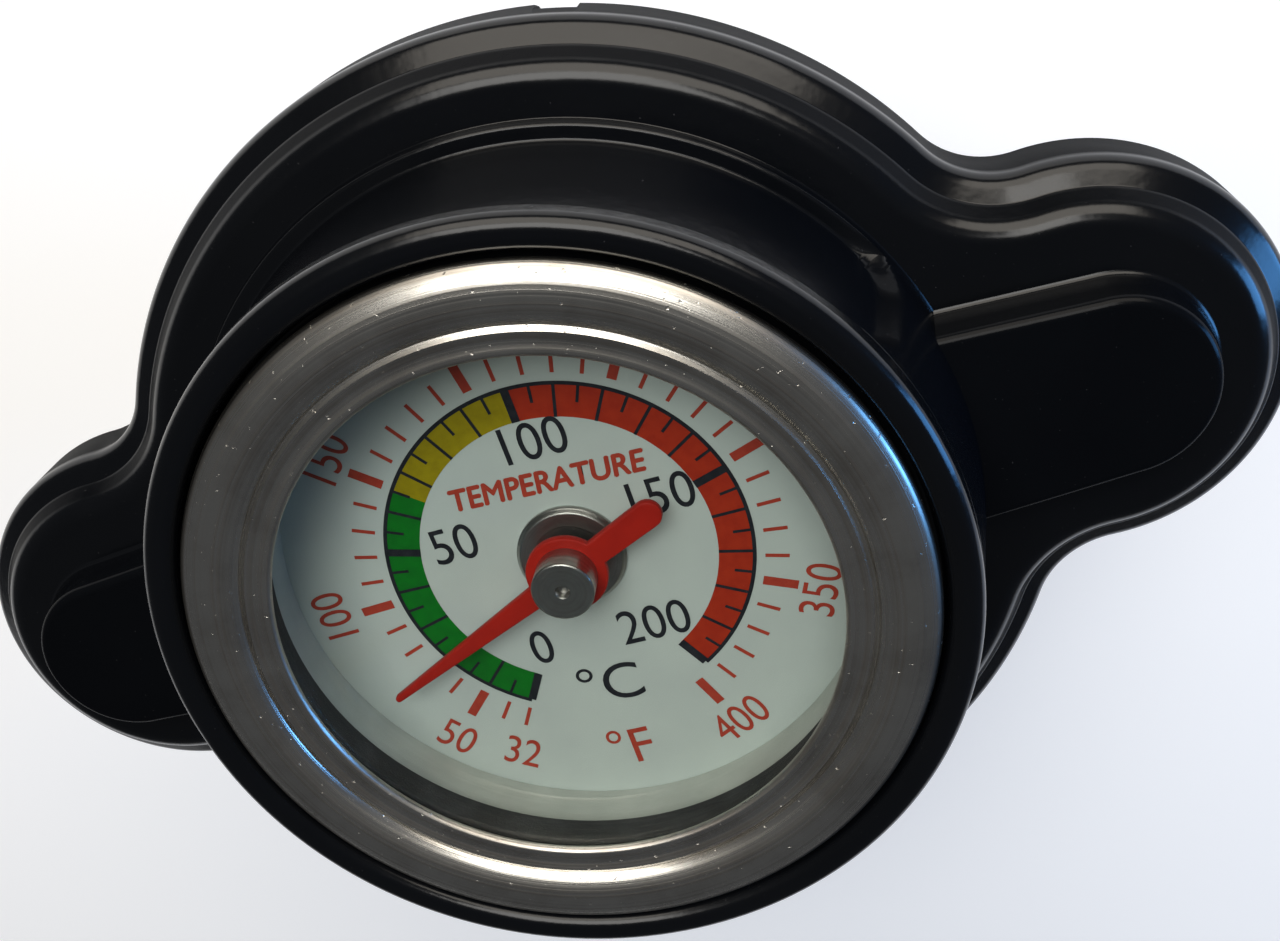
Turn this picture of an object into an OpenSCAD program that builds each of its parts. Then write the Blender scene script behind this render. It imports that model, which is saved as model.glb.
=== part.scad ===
// Radiator cap with a dial thermometer: a cast two-eared cap, a gauge in its boss, and the
// pressure and vacuum valves that hang below the crown. Millimetres, +Z out of the dial,
// +X along the ears, +Y towards the top of the dial. Zero is the plane of the neck seal.

/* [Cap body] */
// Width of the flange, from the boss's foot to the skirt's lower edge
flange_w = 3.9; // [3.65:0.05:4.3]
// Reach of each ear beyond the skirt
ear_reach = 10; // [9.4:0.1:10.6]
// Radius of each ear at its lower edge
ear_r = 9.05; // [8.6:0.05:9.5]
// Radius of the hollow fillet between skirt and ear
ear_fillet_r = 4; // [3:0.1:5]
// Height of the flange top above the seal plane
flange_z = 3.3; // [3.1:0.05:3.6]
// Depth of the skirt below the seal plane
skirt_drop = 1.7; // [1.4:0.05:2]
// Thickness of the skirt's wall, outside the bore that passes over the neck
skirt_wall_t = 2.35; // [2.2:0.05:2.6]
// Height of the crown's underside above the seal plane
crown_under_z = 1.6; // [1.5:0.05:1.7]
// Height of the raised tongue on each ear, above the flange
tongue_h = 2; // [1.5:0.05:2.3]
// Half width of the tongue at its foot
tongue_half_w = 4.75; // [4.2:0.05:5.2]

/* [Bayonet tabs] */
// Width of each locking tab
tab_w = 10.3; // [9:0.1:12]
// How far the tab's round face lies inside the skirt's lower edge
tab_face_in = 0.1; // [0.05:0.05:0.3]
// Depth of the tab below the seal plane
tab_drop = 2.7; // [2.5:0.05:3.2]
// Thickness of the lug that hooks under the neck
lug_t = 1.1; // [0.9:0.05:1.2]
// How far the lug reaches into the skirt's bore
lug_reach = 2.4; // [1.8:0.1:2.8]
// Width of the notch on each side of a tab
tab_notch_w = 1.8; // [1.5:0.1:3]

/* [Boss] */
// Thickness of the crown under the gauge
crown_t = 2.4; // [2.2:0.05:2.6]
// Width of the boss's rim
rim_w = 1.35; // [1.2:0.05:1.6]
// Height of the rim's top above the lens's top
rim_rise = 0.55; // [0.4:0.05:0.9]
// How much wider the boss is at its foot than at its rim
boss_flare = 1.4; // [1.2:0.05:1.6]
// Angle, from an ear, where each side panel starts
panel_start_deg = 23; // [18:1:30]
// Width of the ledge at the foot of each side panel
panel_ledge_w = 0.8; // [0.6:0.05:1]
// Depth of each side panel at its top
panel_depth = 0.5; // [0.3:0.05:0.7]

/* [Gauge] */
// Outer radius of the gauge case
case_r = 13.9; // [12.5:0.1:15.5]
// Thickness of the case's wall
case_wall = 0.6; // [0.5:0.05:0.7]
// Height from the dial's face to the lens's top
dial_room = 5.15; // [4.9:0.05:5.5]
// How far the bezel's bead stands out beyond the case
bezel_over = 1.2; // [1.1:0.05:1.4]
// Width of the bezel's band, from the case's outside to its opening
bezel_band_w = 2.5; // [2:0.05:2.8]
// Thickness of the lens
lens_t = 1.3; // [1:0.05:1.4]
// Turn of the gauge in the boss
gauge_turn_deg = -1.2; // [-5:0.1:5]
// Temperature that the gauge shows at rest, in degrees Celsius
rest_reading = 23.6; // [0:0.1:200]
// Angle that the pointer sweeps from 0 to 200 degrees Celsius
scale_sweep_deg = 297.4; // [280:0.1:300]
// Length of the pointer from the axis to its tip
pointer_len = 10.5; // [9.5:0.1:10.8]
// Length of the pointer's tail
tail_len = 5.15; // [4.5:0.05:5.5]
// Radius of the pointer's hub
hub_r = 1.33; // [1.1:0.01:1.4]

/* [Stem] */
// Outer radius of the sensing stem
stem_r = 3; // [2.9:0.01:3.05]
// Depth of the stem's tube below the seal plane
stem_drop = 25; // [23:0.5:30]
// Radius of the pointer's shaft
shaft_r = 0.5; // [0.4:0.02:0.6]
// Radial clearance of the shaft in its bearings
shaft_clearance = 0.06; // [0.03:0.01:0.1]
// Thickness of the threaded shank's wall round the stem
shank_wall = 0.6; // [0.5:0.02:0.7]
// Turns of the bimetal helix
helix_turns = 7; // [5:1:9]

/* [Valves] */
// Depth of the neck's lower seat below the seal plane
lower_seat_drop = 15.2; // [14.8:0.1:16.5]
// How far the pressure valve's plate reaches beyond the cage
valve_over = 1.2; // [0.8:0.1:1.4]
// Room between the pressure valve's tube and the cage, where the spring stands
cage_room = 2.1; // [1.9:0.05:2.3]
// Thickness of the vacuum valve's sleeve
sleeve_wall = 0.95; // [0.8:0.05:1.1]
// Diameter of the pressure spring's wire
spring_wire_d = 1; // [0.8:0.05:1.05]
// Turns of the pressure spring
spring_turns = 3.5; // [2.5:0.5:3.5]
// Diameter of the vacuum spring's wire
vacuum_wire_d = 0.3; // [0.25:0.01:0.34]
// Turns of the vacuum spring
vacuum_turns = 2; // [1:0.5:2]
// Width of the lock nut across its flats
nut_flats = 11; // [10:0.1:11.2]

/* [Hidden] */
$fn = 64;

// Room that makes a cut pass clear of a face
cut = 1;
// Depth to which joined forms run into each other
sink = 0.8;

// Gauge case and bezel, the boss round them, and the skirt round the boss
bezel_r = case_r + bezel_over;
bezel_mouth_r = case_r - bezel_band_w;
well_gap = 0.75;
well_r = case_r + well_gap;
mouth_gap = 0.2;
rim_mouth_r = bezel_r + mouth_gap;
boss_rim_r = rim_mouth_r + rim_w;
boss_foot_r = boss_rim_r + boss_flare;
panel_foot_r = boss_foot_r - panel_ledge_w;
panel_top_r = boss_rim_r - panel_depth;
skirt_r = boss_foot_r + flange_w;
skirt_bore_r = skirt_r - skirt_wall_t;
ear_x = skirt_r + ear_reach - ear_r;
tongue_end_gap = 0.4;
tongue_end_x = ear_x + tongue_end_gap;
tab_face_r = skirt_r - tab_face_in;
lug_y = skirt_bore_r - lug_reach;

// Heights of the gauge, from the crown's underside up
well_floor_z = crown_under_z + crown_t;
gasket_t = 0.8;
gasket_r = 8;
case_floor_z = well_floor_z + gasket_t;
case_floor_t = 1;
dial_seat_h = 0.55;
dial_t = 0.5;
dial_z = case_floor_z + case_floor_t + dial_seat_h + dial_t;
lens_top_z = dial_z + dial_room;
rim_z = lens_top_z + rim_rise;

// Skirt and flange section: how far each edge lies inside the lower outline
skirt_draft = 0.45;
shoulder_low_r = 0.9;
shoulder_step = 1.15;
shoulder_low_z = flange_z - shoulder_step;
shoulder_top_in = 1.5;
shoulder_top_r = 0.75;

// Centre of the fillet circle that touches both the skirt and the ear
fillet_d = skirt_r + ear_fillet_r;
fillet_e = ear_r + ear_fillet_r;
fillet_x = (fillet_d * fillet_d - fillet_e * fillet_e + ear_x * ear_x) / (2 * ear_x);
fillet_y = sqrt(fillet_d * fillet_d - fillet_x * fillet_x);
// How far the fillet lies inside a true touching circle
fillet_sink = 0.08;

// Ear pockets under the crown
pocket_wall = 2.2;
pocket_roof_drop = 0.3;
pocket_roof_z = crown_under_z - pocket_roof_drop;
pocket_inner_wall = 1.9;

// Boss
rim_flat_w = 0.15;
rim_round_r = (rim_w - rim_flat_w) / 2;
panel_ledge_h = 0.45;
panel_foot_z = flange_z + panel_ledge_h;
panel_rim_h = 1.3;
panel_top_z = rim_z - panel_rim_h;
shank_clearance = 0.1;
tongue_draft = 0.35;
tongue_round_r = 0.45;
tongue_z = flange_z + tongue_h;
tab_notch_z = -0.4;
tab_root_t = 0.6;
tab_lap_h = 0.25;

// Gauge stack
case_in_r = case_r - case_wall;
dial_gap = 0.1;
dial_seat_w = 2.3;
lens_z = lens_top_z - lens_t;
lens_gasket_t = 1;
lens_gasket_w = 0.8;
spacer_t = 0.4;
bush_r = 2.1;
bush_neck_r = 1.55;
bush_h = 0.4;
bush_taper = 0.2;
hub_rise = 1.1;
hub_h = 2;
hub_z = dial_z + hub_rise;
hub_top_z = hub_z + hub_h;
hub_dimple_r = 0.25;
hub_dimple_depth = 0.4;
pointer_rise = 0.3;
pointer_z = hub_z + pointer_rise;
pointer_t = 0.4;
pointer_ring_r = 1.77;
pointer_root_half_w = 0.58;
pointer_tip_r = 0.16;
tail_root_half_w = 0.55;
tail_end_r = 0.63;
scale_top = 200;
pointer_deg = 90 + gauge_turn_deg + (1 / 2 - rest_reading / scale_top) * scale_sweep_deg;
bezel_bead_r = 0.65;
bezel_bead_w = 2.5;
bezel_skirt_t = 0.45;
bezel_skirt_h = 2.4;
bezel_skirt_z = lens_top_z - bezel_skirt_h;
bezel_bead_rise = 0.22;
bezel_bead_z = lens_top_z + bezel_bead_rise;
mouth_floor_gap = 0.4;
mouth_floor_z = bezel_bead_z - bezel_bead_r - mouth_floor_gap;
bezel_band_rise = 0.4;
bezel_lip_r = 0.23;

// Stem and its works
stem_wall = 0.5;
stem_in_r = stem_r - stem_wall;
shank_r = stem_r + shank_wall;
stem_top_z = case_floor_z + case_floor_t / 2;
tip_plug_l = 2.5;
bearing_r = shaft_r + shaft_clearance;
shaft_end_z = -10.4;
hub_web_t = 0.2;
shaft_top_z = hub_top_z - hub_dimple_depth - hub_web_t;
collar_r = 1.9;
collar_z = -9.6;
collar_t = 0.8;
guide_l = 2;
guide_upper_z = 3;
guide_lower_z = -8;
helix_wire_d = 0.7;
helix_r = 1.7;
helix_gap = 0.1;

// Radii of the valves, from the stem outwards
sleeve_gap = 0.35;
sleeve_in_r = stem_r + sleeve_gap;
sleeve_r = sleeve_in_r + sleeve_wall;
valve_bore_gap = 0.4;
valve_bore_r = sleeve_r + valve_bore_gap;
vacuum_spring_gap = 0.7;
vacuum_spring_r = sleeve_r + vacuum_spring_gap;
clip_w = 1.45;
clip_r = sleeve_r + clip_w;
clip_gap = 0.45;
valve_tube_in_r = clip_r + clip_gap;
valve_neck_t = 0.6;
valve_neck_r = valve_tube_in_r + valve_neck_t;
valve_tube_t = 0.9;
valve_tube_r = valve_tube_in_r + valve_tube_t;
cage_lip_gap = 0.35;
cage_lip_r = valve_tube_r + cage_lip_gap;
spring_gap = 0.4;
spring_r = valve_tube_r + spring_gap;
cage_t = 0.6;
cage_in_r = valve_tube_r + cage_room;
cage_r = cage_in_r + cage_t;
valve_r = cage_r + valve_over;
valve_gasket_gap = 0.5;
valve_gasket_in_r = valve_tube_r + valve_gasket_gap;
vacuum_seal_gap = 0.2;
vacuum_seal_in_r = valve_bore_r + vacuum_seal_gap;
vacuum_seal_w = 1.8;
vacuum_seal_r = vacuum_seal_in_r + vacuum_seal_w;
vacuum_flange_r = vacuum_seal_r + vacuum_seal_gap;

// Valve stack
disc_t = 0.4;
disc_z = crown_under_z - disc_t;
disc_gap = 2;
disc_r = skirt_bore_r - disc_gap;
seal_edge = 0.4;
seal_out_r = disc_r - seal_edge;
seal_w = 4.6;
seal_in_r = seal_out_r - seal_w;
cage_flange_gap = 0.3;
cage_flange_r = seal_in_r - cage_flange_gap;
cage_top_z = disc_z - cage_t;
cage_bottom_z = -9.6;
cage_window_w = 6;
cage_window_top_z = -1.6;
cage_window_bottom_z = -7.6;
washer_t = 0.6;
washer_r = 6;
nut_h = 3;
nut_top_z = cage_top_z - washer_t;
shank_over = 0.6;
shank_bottom_z = nut_top_z - nut_h - shank_over;
valve_t = 1.2;
valve_gasket_t = 1.6;
valve_under_z = -lower_seat_drop + valve_gasket_t;
valve_top_z = valve_under_z + valve_t;
retainer_z = cage_bottom_z + cage_t;
retainer_t = 0.8;
retainer_gap = 0.4;
retainer_r = cage_in_r - retainer_gap;
sleeve_top_z = -8.8;
vacuum_seal_t = 0.6;
vacuum_flange_t = 0.8;
vacuum_flange_z = valve_under_z - vacuum_seal_t - vacuum_flange_t;
clip_z = -9.6;
clip_t = 0.6;

// Wound wire: rings to a turn and sides to a ring
turn_rings = 8;
wire_sides = 6;
// Wire diameters from a seat to the first ring of the winding, and the turn on the way
lead_rise = 1.6;
lead_deg = 15;
// Points of the path, at each end, where the wire stands upright
lead_points = 2;

// Middle line of a spring whose two ends stand upright on their seats
function spring_path(r, d, z_low, z_high, turns) =
    let (count = ceil(turns * turn_rings), low = z_low + lead_rise * d,
        rise = z_high - z_low - 2 * lead_rise * d)
    concat(
        [[r, 0, z_low], [r, 0, z_low + d]],
        [for (i = [0:count])
            let (a = lead_deg + i / count * turns * 360)
            [r * cos(a), r * sin(a), low + i / count * rise]],
        let (a = 2 * lead_deg + turns * 360)
        [[r * cos(a), r * sin(a), z_high - d], [r * cos(a), r * sin(a), z_high]]
    );

// Direction of a path at its point i
function path_way(path, i) =
    i < lead_points || i >= len(path) - lead_points
        ? [0, 0, 1]
        : let (v = path[i + 1] - path[i - 1]) v / norm(v);

// Corners of the wire's ring round point i of its path
function wire_ring(path, i, d) =
    let (
        flat = [path[i].x, path[i].y, 0],
        way = path_way(path, i),
        out = flat / norm(flat),
        side_raw = cross(way, out),
        side = side_raw / norm(side_raw),
        up = cross(side, way)
    )
    [for (k = [0:wire_sides - 1])
        let (a = k * 360 / wire_sides)
        path[i] + d / 2 * (cos(a) * up + sin(a) * side)];

// Least gap between turns of the wire, measured on its path's points
function wire_gap(path, d) =
    min([for (i = [0:len(path) - 1], j = [0:len(path) - 1])
        if (j - i > turn_rings / 2)
        norm(path[j] - path[i]) - d]);

// One unbroken round wire along a path
module wire(path, d) {
    rings = len(path);
    points = [for (i = [0:rings - 1]) each wire_ring(path, i, d)];
    sides = [for (i = [0:rings - 2], k = [0:wire_sides - 1])
        let (
            a = i * wire_sides + k,
            b = i * wire_sides + (k + 1) % wire_sides
        )
        each [[a, b + wire_sides, b], [a, a + wire_sides, b + wire_sides]]];
    last = (rings - 1) * wire_sides;
    low_end = [for (k = [1:wire_sides - 2]) [0, k, k + 1]];
    high_end = [for (k = [1:wire_sides - 2]) [last, last + k + 1, last + k]];
    polyhedron(points = points, faces = concat(sides, low_end, high_end));
}

// A plain ring
module ring(r_in, r_out, z, h) {
    translate([0, 0, z])
        linear_extrude(h)
            difference() {
                circle(r_out);
                circle(r_in);
            }
}

// Section of skirt and flange: x runs inwards from the lower outline, over the given reach
module edge_section(reach) {
    low_arc_z = shoulder_low_z - shoulder_low_r;
    low_arc_x = skirt_draft + shoulder_low_r;
    top_arc_x = shoulder_top_in + shoulder_top_r;
    top_arc_z = flange_z - shoulder_top_r;
    polygon([
        [0, -skirt_drop], [reach, -skirt_drop], [reach, shoulder_low_z],
        [low_arc_x, shoulder_low_z], [skirt_draft, low_arc_z]
    ]);
    translate([low_arc_x, low_arc_z])
        circle(shoulder_low_r);
    translate([shoulder_top_in, low_arc_z])
        square([reach - shoulder_top_in, top_arc_z - low_arc_z]);
    translate([top_arc_x, low_arc_z])
        square([reach - top_arc_x, flange_z - low_arc_z]);
    translate([top_arc_x, top_arc_z])
        circle(shoulder_top_r);
}

// A round plate with the edge section
module edge_disc(r) {
    rotate_extrude()
        intersection() {
            translate([r, 0])
                mirror([1, 0])
                    edge_section(r + cut);
            translate([0, -skirt_drop - cut])
                square([r + cut, skirt_drop + flange_z + 2 * cut]);
        }
}

// The web between skirt and ear, with the hollow fillet's edge
module edge_web() {
    reach = fillet_y - ear_fillet_r + 2 * cut;
    intersection() {
        translate([fillet_x, fillet_y])
            rotate_extrude()
                translate([ear_fillet_r + fillet_sink, 0])
                    edge_section(reach);
        translate([0, 0, -skirt_drop - cut])
            linear_extrude(flange_z + skirt_drop + 2 * cut)
                polygon([[0, -cut], [ear_x, -cut], [fillet_x, fillet_y]]);
    }
}

// The cap's skirt, flange and ears as one solid plate
module eared_plate() {
    edge_disc(skirt_r);
    for (x = [0, 1])
        mirror([x, 0, 0])
            translate([ear_x, 0, 0])
                edge_disc(ear_r);
    for (x = [0, 1], y = [0, 1])
        mirror([x, 0, 0])
            mirror([0, y, 0])
                edge_web();
}

// Section of one half of the raised tongue
module tongue_half_section() {
    foot_z = flange_z - sink;
    top_w = tongue_half_w - tongue_draft;
    polygon([
        [0, foot_z], [tongue_half_w, foot_z], [tongue_half_w, flange_z],
        [top_w, tongue_z - tongue_round_r], [top_w - tongue_round_r, tongue_z], [0, tongue_z]
    ]);
    translate([top_w - tongue_round_r, tongue_z - tongue_round_r])
        circle(tongue_round_r);
}

// The raised tongue of the ear on the +X side
module tongue() {
    start_x = boss_rim_r - sink;
    translate([start_x, 0, 0])
        rotate([90, 0, 90])
            linear_extrude(tongue_end_x - start_x) {
                tongue_half_section();
                mirror([1, 0])
                    tongue_half_section();
            }
    translate([tongue_end_x, 0, 0])
        rotate([0, 0, -90])
            rotate_extrude(angle = 180)
                tongue_half_section();
}

// The boss with its rounded rim
module boss() {
    rotate_extrude() {
        polygon([
            [0, flange_z - sink], [boss_foot_r, flange_z - sink], [boss_foot_r, flange_z],
            [boss_rim_r, rim_z - rim_round_r], [0, rim_z - rim_round_r]
        ]);
        translate([rim_mouth_r + rim_round_r, rim_z - rim_round_r])
            square([rim_w - 2 * rim_round_r, rim_round_r]);
        for (x = [rim_mouth_r + rim_round_r, boss_rim_r - rim_round_r])
            translate([x, rim_z - rim_round_r])
                circle(rim_round_r);
    }
}

// The shallow panel on the +Y side of the boss, as a cut
module panel_cut() {
    rotate([0, 0, panel_start_deg])
        rotate_extrude(angle = 180 - 2 * panel_start_deg)
            polygon([
                [panel_foot_r, panel_foot_z], [boss_foot_r + cut, panel_foot_z],
                [boss_foot_r + cut, panel_top_z], [panel_top_r, panel_top_z]
            ]);
}

// The locking tab on the +Y side, with the lug that hooks under the neck
module bayonet_tab() {
    tab_in_y = skirt_bore_r - tab_root_t;
    translate([-tab_w / 2, tab_in_y, -tab_drop])
        cube([tab_w, tab_root_t + sink, tab_drop + crown_under_z]);
    translate([-tab_w / 2, lug_y, -tab_drop])
        cube([tab_w, tab_in_y - lug_y + sink, lug_t]);
    intersection() {
        translate([0, 0, -tab_drop])
            cylinder(r = tab_face_r, h = tab_drop - skirt_drop + tab_lap_h);
        translate([-tab_w / 2, tab_in_y, -tab_drop])
            cube([tab_w, skirt_r, tab_drop]);
    }
}

// Notches on each side of the +Y tab
module tab_notches() {
    notch_h = tab_notch_z + skirt_drop + cut;
    for (x = [0, 1])
        mirror([x, 0, 0])
            translate([tab_w / 2, skirt_bore_r / 2, tab_notch_z - notch_h])
                cube([tab_notch_w, skirt_r, notch_h]);
}

// Hollow under the ear on the +X side
module ear_pocket() {
    translate([0, 0, -skirt_drop - cut])
        linear_extrude(pocket_roof_z + skirt_drop + cut)
            difference() {
                translate([ear_x, 0])
                    circle(ear_r - pocket_wall);
                circle(skirt_bore_r + pocket_inner_wall);
            }
}

module cap_body() {
    color([0.03, 0.03, 0.035]) {
        difference() {
            union() {
                eared_plate();
                boss();
                for (x = [0, 1])
                    mirror([x, 0, 0])
                        tongue();
            }
            for (side = [0, 180])
                rotate([0, 0, side]) {
                    panel_cut();
                    tab_notches();
                }
            for (x = [0, 1])
                mirror([x, 0, 0])
                    ear_pocket();
            // Bore of the skirt
            translate([0, 0, -skirt_drop - cut])
                cylinder(r = skirt_bore_r, h = crown_under_z + skirt_drop + cut);
            // Well of the boss, its wider mouth, and the hole for the gauge's shank
            translate([0, 0, well_floor_z])
                cylinder(r = well_r, h = rim_z);
            translate([0, 0, mouth_floor_z])
                cylinder(r = rim_mouth_r, h = rim_z);
            cylinder(r = shank_r + shank_clearance, h = rim_z);
        }
        for (side = [0, 180])
            rotate([0, 0, side])
                bayonet_tab();
    }
}

module gauge_gasket() {
    color([0.05, 0.05, 0.05])
        ring(shank_r + shank_clearance, gasket_r, well_floor_z, gasket_t);
}

module lock_washer() {
    color([0.6, 0.6, 0.62])
        ring(shank_r + shank_clearance, washer_r, nut_top_z, washer_t);
}

module lock_nut() {
    color([0.62, 0.6, 0.52])
        translate([0, 0, nut_top_z - nut_h])
            difference() {
                cylinder(r = nut_flats / 2 / cos(30), h = nut_h, $fn = 6);
                translate([0, 0, -cut])
                    cylinder(r = shank_r, h = nut_h + 2 * cut);
            }
}

module spring_disc() {
    color([0.7, 0.7, 0.72])
        ring(shank_r + shank_clearance, disc_r, disc_z, disc_t);
}

module upper_gasket() {
    color([0.06, 0.06, 0.06])
        ring(seal_in_r, seal_out_r, 0, disc_z);
}

// Bell that hangs from the crown, guides the pressure spring and holds the valve by its lip
module spring_cage() {
    window_h = cage_window_top_z - cage_window_bottom_z;
    color([0.72, 0.66, 0.5])
        difference() {
            union() {
                ring(shank_r + shank_clearance, cage_flange_r, cage_top_z, cage_t);
                ring(cage_in_r, cage_r, cage_bottom_z, cage_top_z - cage_bottom_z);
                ring(cage_lip_r, cage_r, cage_bottom_z, cage_t);
            }
            for (turn = [0, 90])
                rotate([0, 0, turn + 45])
                    translate([-cage_r - cut, -cage_window_w / 2, cage_window_bottom_z])
                        cube([2 * cage_r + 2 * cut, cage_window_w, window_h]);
        }
}

pressure_path = spring_path(spring_r, spring_wire_d, retainer_z + retainer_t, cage_top_z, spring_turns);

module pressure_spring() {
    echo(pressure_spring_gap = wire_gap(pressure_path, spring_wire_d));
    color([0.68, 0.68, 0.7])
        wire(pressure_path, spring_wire_d);
}

module valve_plate() {
    color([0.72, 0.66, 0.5])
        rotate_extrude()
            polygon([
                [valve_bore_r, valve_under_z], [valve_r, valve_under_z], [valve_r, valve_top_z],
                [valve_tube_r, valve_top_z], [valve_tube_r, retainer_z], [valve_neck_r, retainer_z],
                [valve_neck_r, retainer_z + retainer_t], [valve_tube_in_r, retainer_z + retainer_t],
                [valve_tube_in_r, valve_top_z], [valve_bore_r, valve_top_z]
            ]);
}

module valve_retainer() {
    color([0.7, 0.7, 0.72])
        ring(valve_neck_r, retainer_r, retainer_z, retainer_t);
}

module valve_gasket() {
    color([0.06, 0.06, 0.06])
        ring(valve_gasket_in_r, valve_r, -lower_seat_drop, valve_gasket_t);
}

// Sleeve round the stem with the flange that closes the pressure valve's middle from below
module vacuum_valve() {
    color([0.75, 0.68, 0.45]) {
        ring(sleeve_in_r, vacuum_flange_r, vacuum_flange_z, vacuum_flange_t);
        ring(sleeve_in_r, sleeve_r, vacuum_flange_z, sleeve_top_z - vacuum_flange_z);
    }
}

module vacuum_seal() {
    color([0.06, 0.06, 0.06])
        ring(vacuum_seal_in_r, vacuum_seal_r, vacuum_flange_z + vacuum_flange_t, vacuum_seal_t);
}

vacuum_path = spring_path(vacuum_spring_r, vacuum_wire_d, valve_top_z, clip_z, vacuum_turns);

module vacuum_spring() {
    echo(vacuum_spring_gap = wire_gap(vacuum_path, vacuum_wire_d));
    color([0.68, 0.68, 0.7])
        wire(vacuum_path, vacuum_wire_d);
}

module vacuum_clip() {
    color([0.7, 0.7, 0.72])
        ring(sleeve_r, clip_r, clip_z, clip_t);
}

// Cup of the gauge with the threaded shank that passes through the crown
module gauge_case() {
    color([0.72, 0.72, 0.74])
        rotate_extrude()
            polygon([
                [stem_r, shank_bottom_z], [shank_r, shank_bottom_z], [shank_r, case_floor_z],
                [case_r, case_floor_z], [case_r, lens_top_z], [case_in_r, lens_top_z],
                [case_in_r, case_floor_z + case_floor_t], [stem_r, case_floor_z + case_floor_t]
            ]);
}

module stem_tube() {
    color([0.72, 0.72, 0.74])
        ring(stem_in_r, stem_r, -stem_drop, stem_drop + stem_top_z);
}

module stem_tip() {
    color([0.72, 0.72, 0.74])
        translate([0, 0, -stem_drop]) {
            cylinder(r = stem_in_r, h = tip_plug_l);
            rotate_extrude()
                intersection() {
                    circle(stem_r);
                    translate([0, -stem_r])
                        square(stem_r);
                }
        }
}

module guide_upper() {
    color([0.75, 0.62, 0.3])
        ring(bearing_r, stem_in_r, guide_upper_z, guide_l);
}

module guide_lower() {
    color([0.75, 0.62, 0.3])
        ring(bearing_r, stem_in_r, guide_lower_z, guide_l);
}

helix_path = spring_path(
    helix_r, helix_wire_d, tip_plug_l - stem_drop, collar_z - helix_gap, helix_turns
);

module bimetal_helix() {
    echo(bimetal_helix_gap = wire_gap(helix_path, helix_wire_d));
    color([0.7, 0.6, 0.5])
        wire(helix_path, helix_wire_d);
}

module helix_collar() {
    color([0.75, 0.62, 0.3])
        ring(shaft_r, collar_r, collar_z, collar_t);
}

module pointer_shaft() {
    color([0.75, 0.75, 0.77])
        translate([0, 0, shaft_end_z])
            cylinder(r = shaft_r, h = shaft_top_z - shaft_end_z);
}

module dial_seat() {
    color([0.6, 0.6, 0.62])
        ring(case_in_r - dial_seat_w, case_in_r, case_floor_z + case_floor_t, dial_seat_h);
}

module dial_plate() {
    color([0.82, 0.85, 0.83])
        ring(bush_neck_r, case_in_r - dial_gap, dial_z - dial_t, dial_t);
}

// Polished bush that carries the shaft at the dial
module dial_bush() {
    color([0.75, 0.75, 0.77]) {
        ring(bearing_r, bush_neck_r, dial_z - dial_t, dial_t);
        ring(bearing_r, bush_r, dial_z, bush_h / 2);
        translate([0, 0, dial_z + bush_h / 2])
            difference() {
                cylinder(r1 = bush_r, r2 = bush_r - bush_taper, h = bush_h / 2);
                translate([0, 0, -cut])
                    cylinder(r = bearing_r, h = bush_h + 2 * cut);
            }
    }
}

module pointer_hub() {
    color([0.62, 0.6, 0.58])
        difference() {
            translate([0, 0, hub_z])
                cylinder(r = hub_r, h = hub_top_z - hub_z);
            translate([0, 0, hub_z - cut])
                cylinder(r = shaft_r, h = shaft_top_z - hub_z + cut);
            translate([0, 0, hub_top_z - hub_dimple_depth])
                cylinder(r = hub_dimple_r, h = hub_dimple_depth + cut);
        }
}

// Red pointer: a thin blade, a ring round the hub and a wider tail
module pointer() {
    color([0.8, 0.12, 0.06])
        translate([0, 0, pointer_z])
            rotate([0, 0, pointer_deg])
                linear_extrude(pointer_t)
                    difference() {
                        union() {
                            circle(pointer_ring_r);
                            polygon([
                                [0, -pointer_root_half_w], [pointer_len - pointer_tip_r, -pointer_tip_r],
                                [pointer_len - pointer_tip_r, pointer_tip_r], [0, pointer_root_half_w]
                            ]);
                            translate([pointer_len - pointer_tip_r, 0])
                                circle(pointer_tip_r);
                            polygon([
                                [0, tail_root_half_w], [tail_end_r - tail_len, tail_end_r],
                                [tail_end_r - tail_len, -tail_end_r], [0, -tail_root_half_w]
                            ]);
                            translate([tail_end_r - tail_len, 0])
                                circle(tail_end_r);
                        }
                        circle(hub_r);
                    }
}

module spacer_ring() {
    color([0.72, 0.73, 0.72])
        ring(case_in_r - spacer_t, case_in_r, dial_z, lens_z - lens_gasket_t - dial_z);
}

module lens_gasket() {
    color([0.12, 0.13, 0.14])
        ring(case_in_r - lens_gasket_w, case_in_r, lens_z - lens_gasket_t, lens_gasket_t);
}

module lens() {
    color([0.85, 0.9, 0.92, 0.3])
        translate([0, 0, lens_z])
            cylinder(r = case_in_r - dial_gap, h = lens_t);
}

// Bright ring crimped over the case: a broad rounded bead, a flat band and a rounded lip
module bezel_ring() {
    bead_out_x = bezel_r - bezel_bead_r;
    bead_in_x = bezel_r - bezel_bead_w + bezel_bead_r;
    lip_x = bezel_mouth_r + bezel_lip_r;
    color([0.75, 0.74, 0.72])
        rotate_extrude() {
            difference() {
                union() {
                    for (x = [bead_in_x, bead_out_x])
                        translate([x, bezel_bead_z])
                            circle(bezel_bead_r);
                    translate([bead_in_x, bezel_bead_z - bezel_bead_r])
                        square([bead_out_x - bead_in_x, 2 * bezel_bead_r]);
                }
                translate([0, lens_top_z - bezel_bead_r])
                    square([case_r, bezel_bead_r]);
            }
            translate([case_r, bezel_skirt_z])
                square([bezel_skirt_t, bezel_bead_z - bezel_skirt_z]);
            translate([lip_x, lens_top_z + bezel_lip_r])
                circle(bezel_lip_r);
            translate([lip_x, lens_top_z])
                square([case_r - lip_x, bezel_band_rise]);
        }
}

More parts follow.
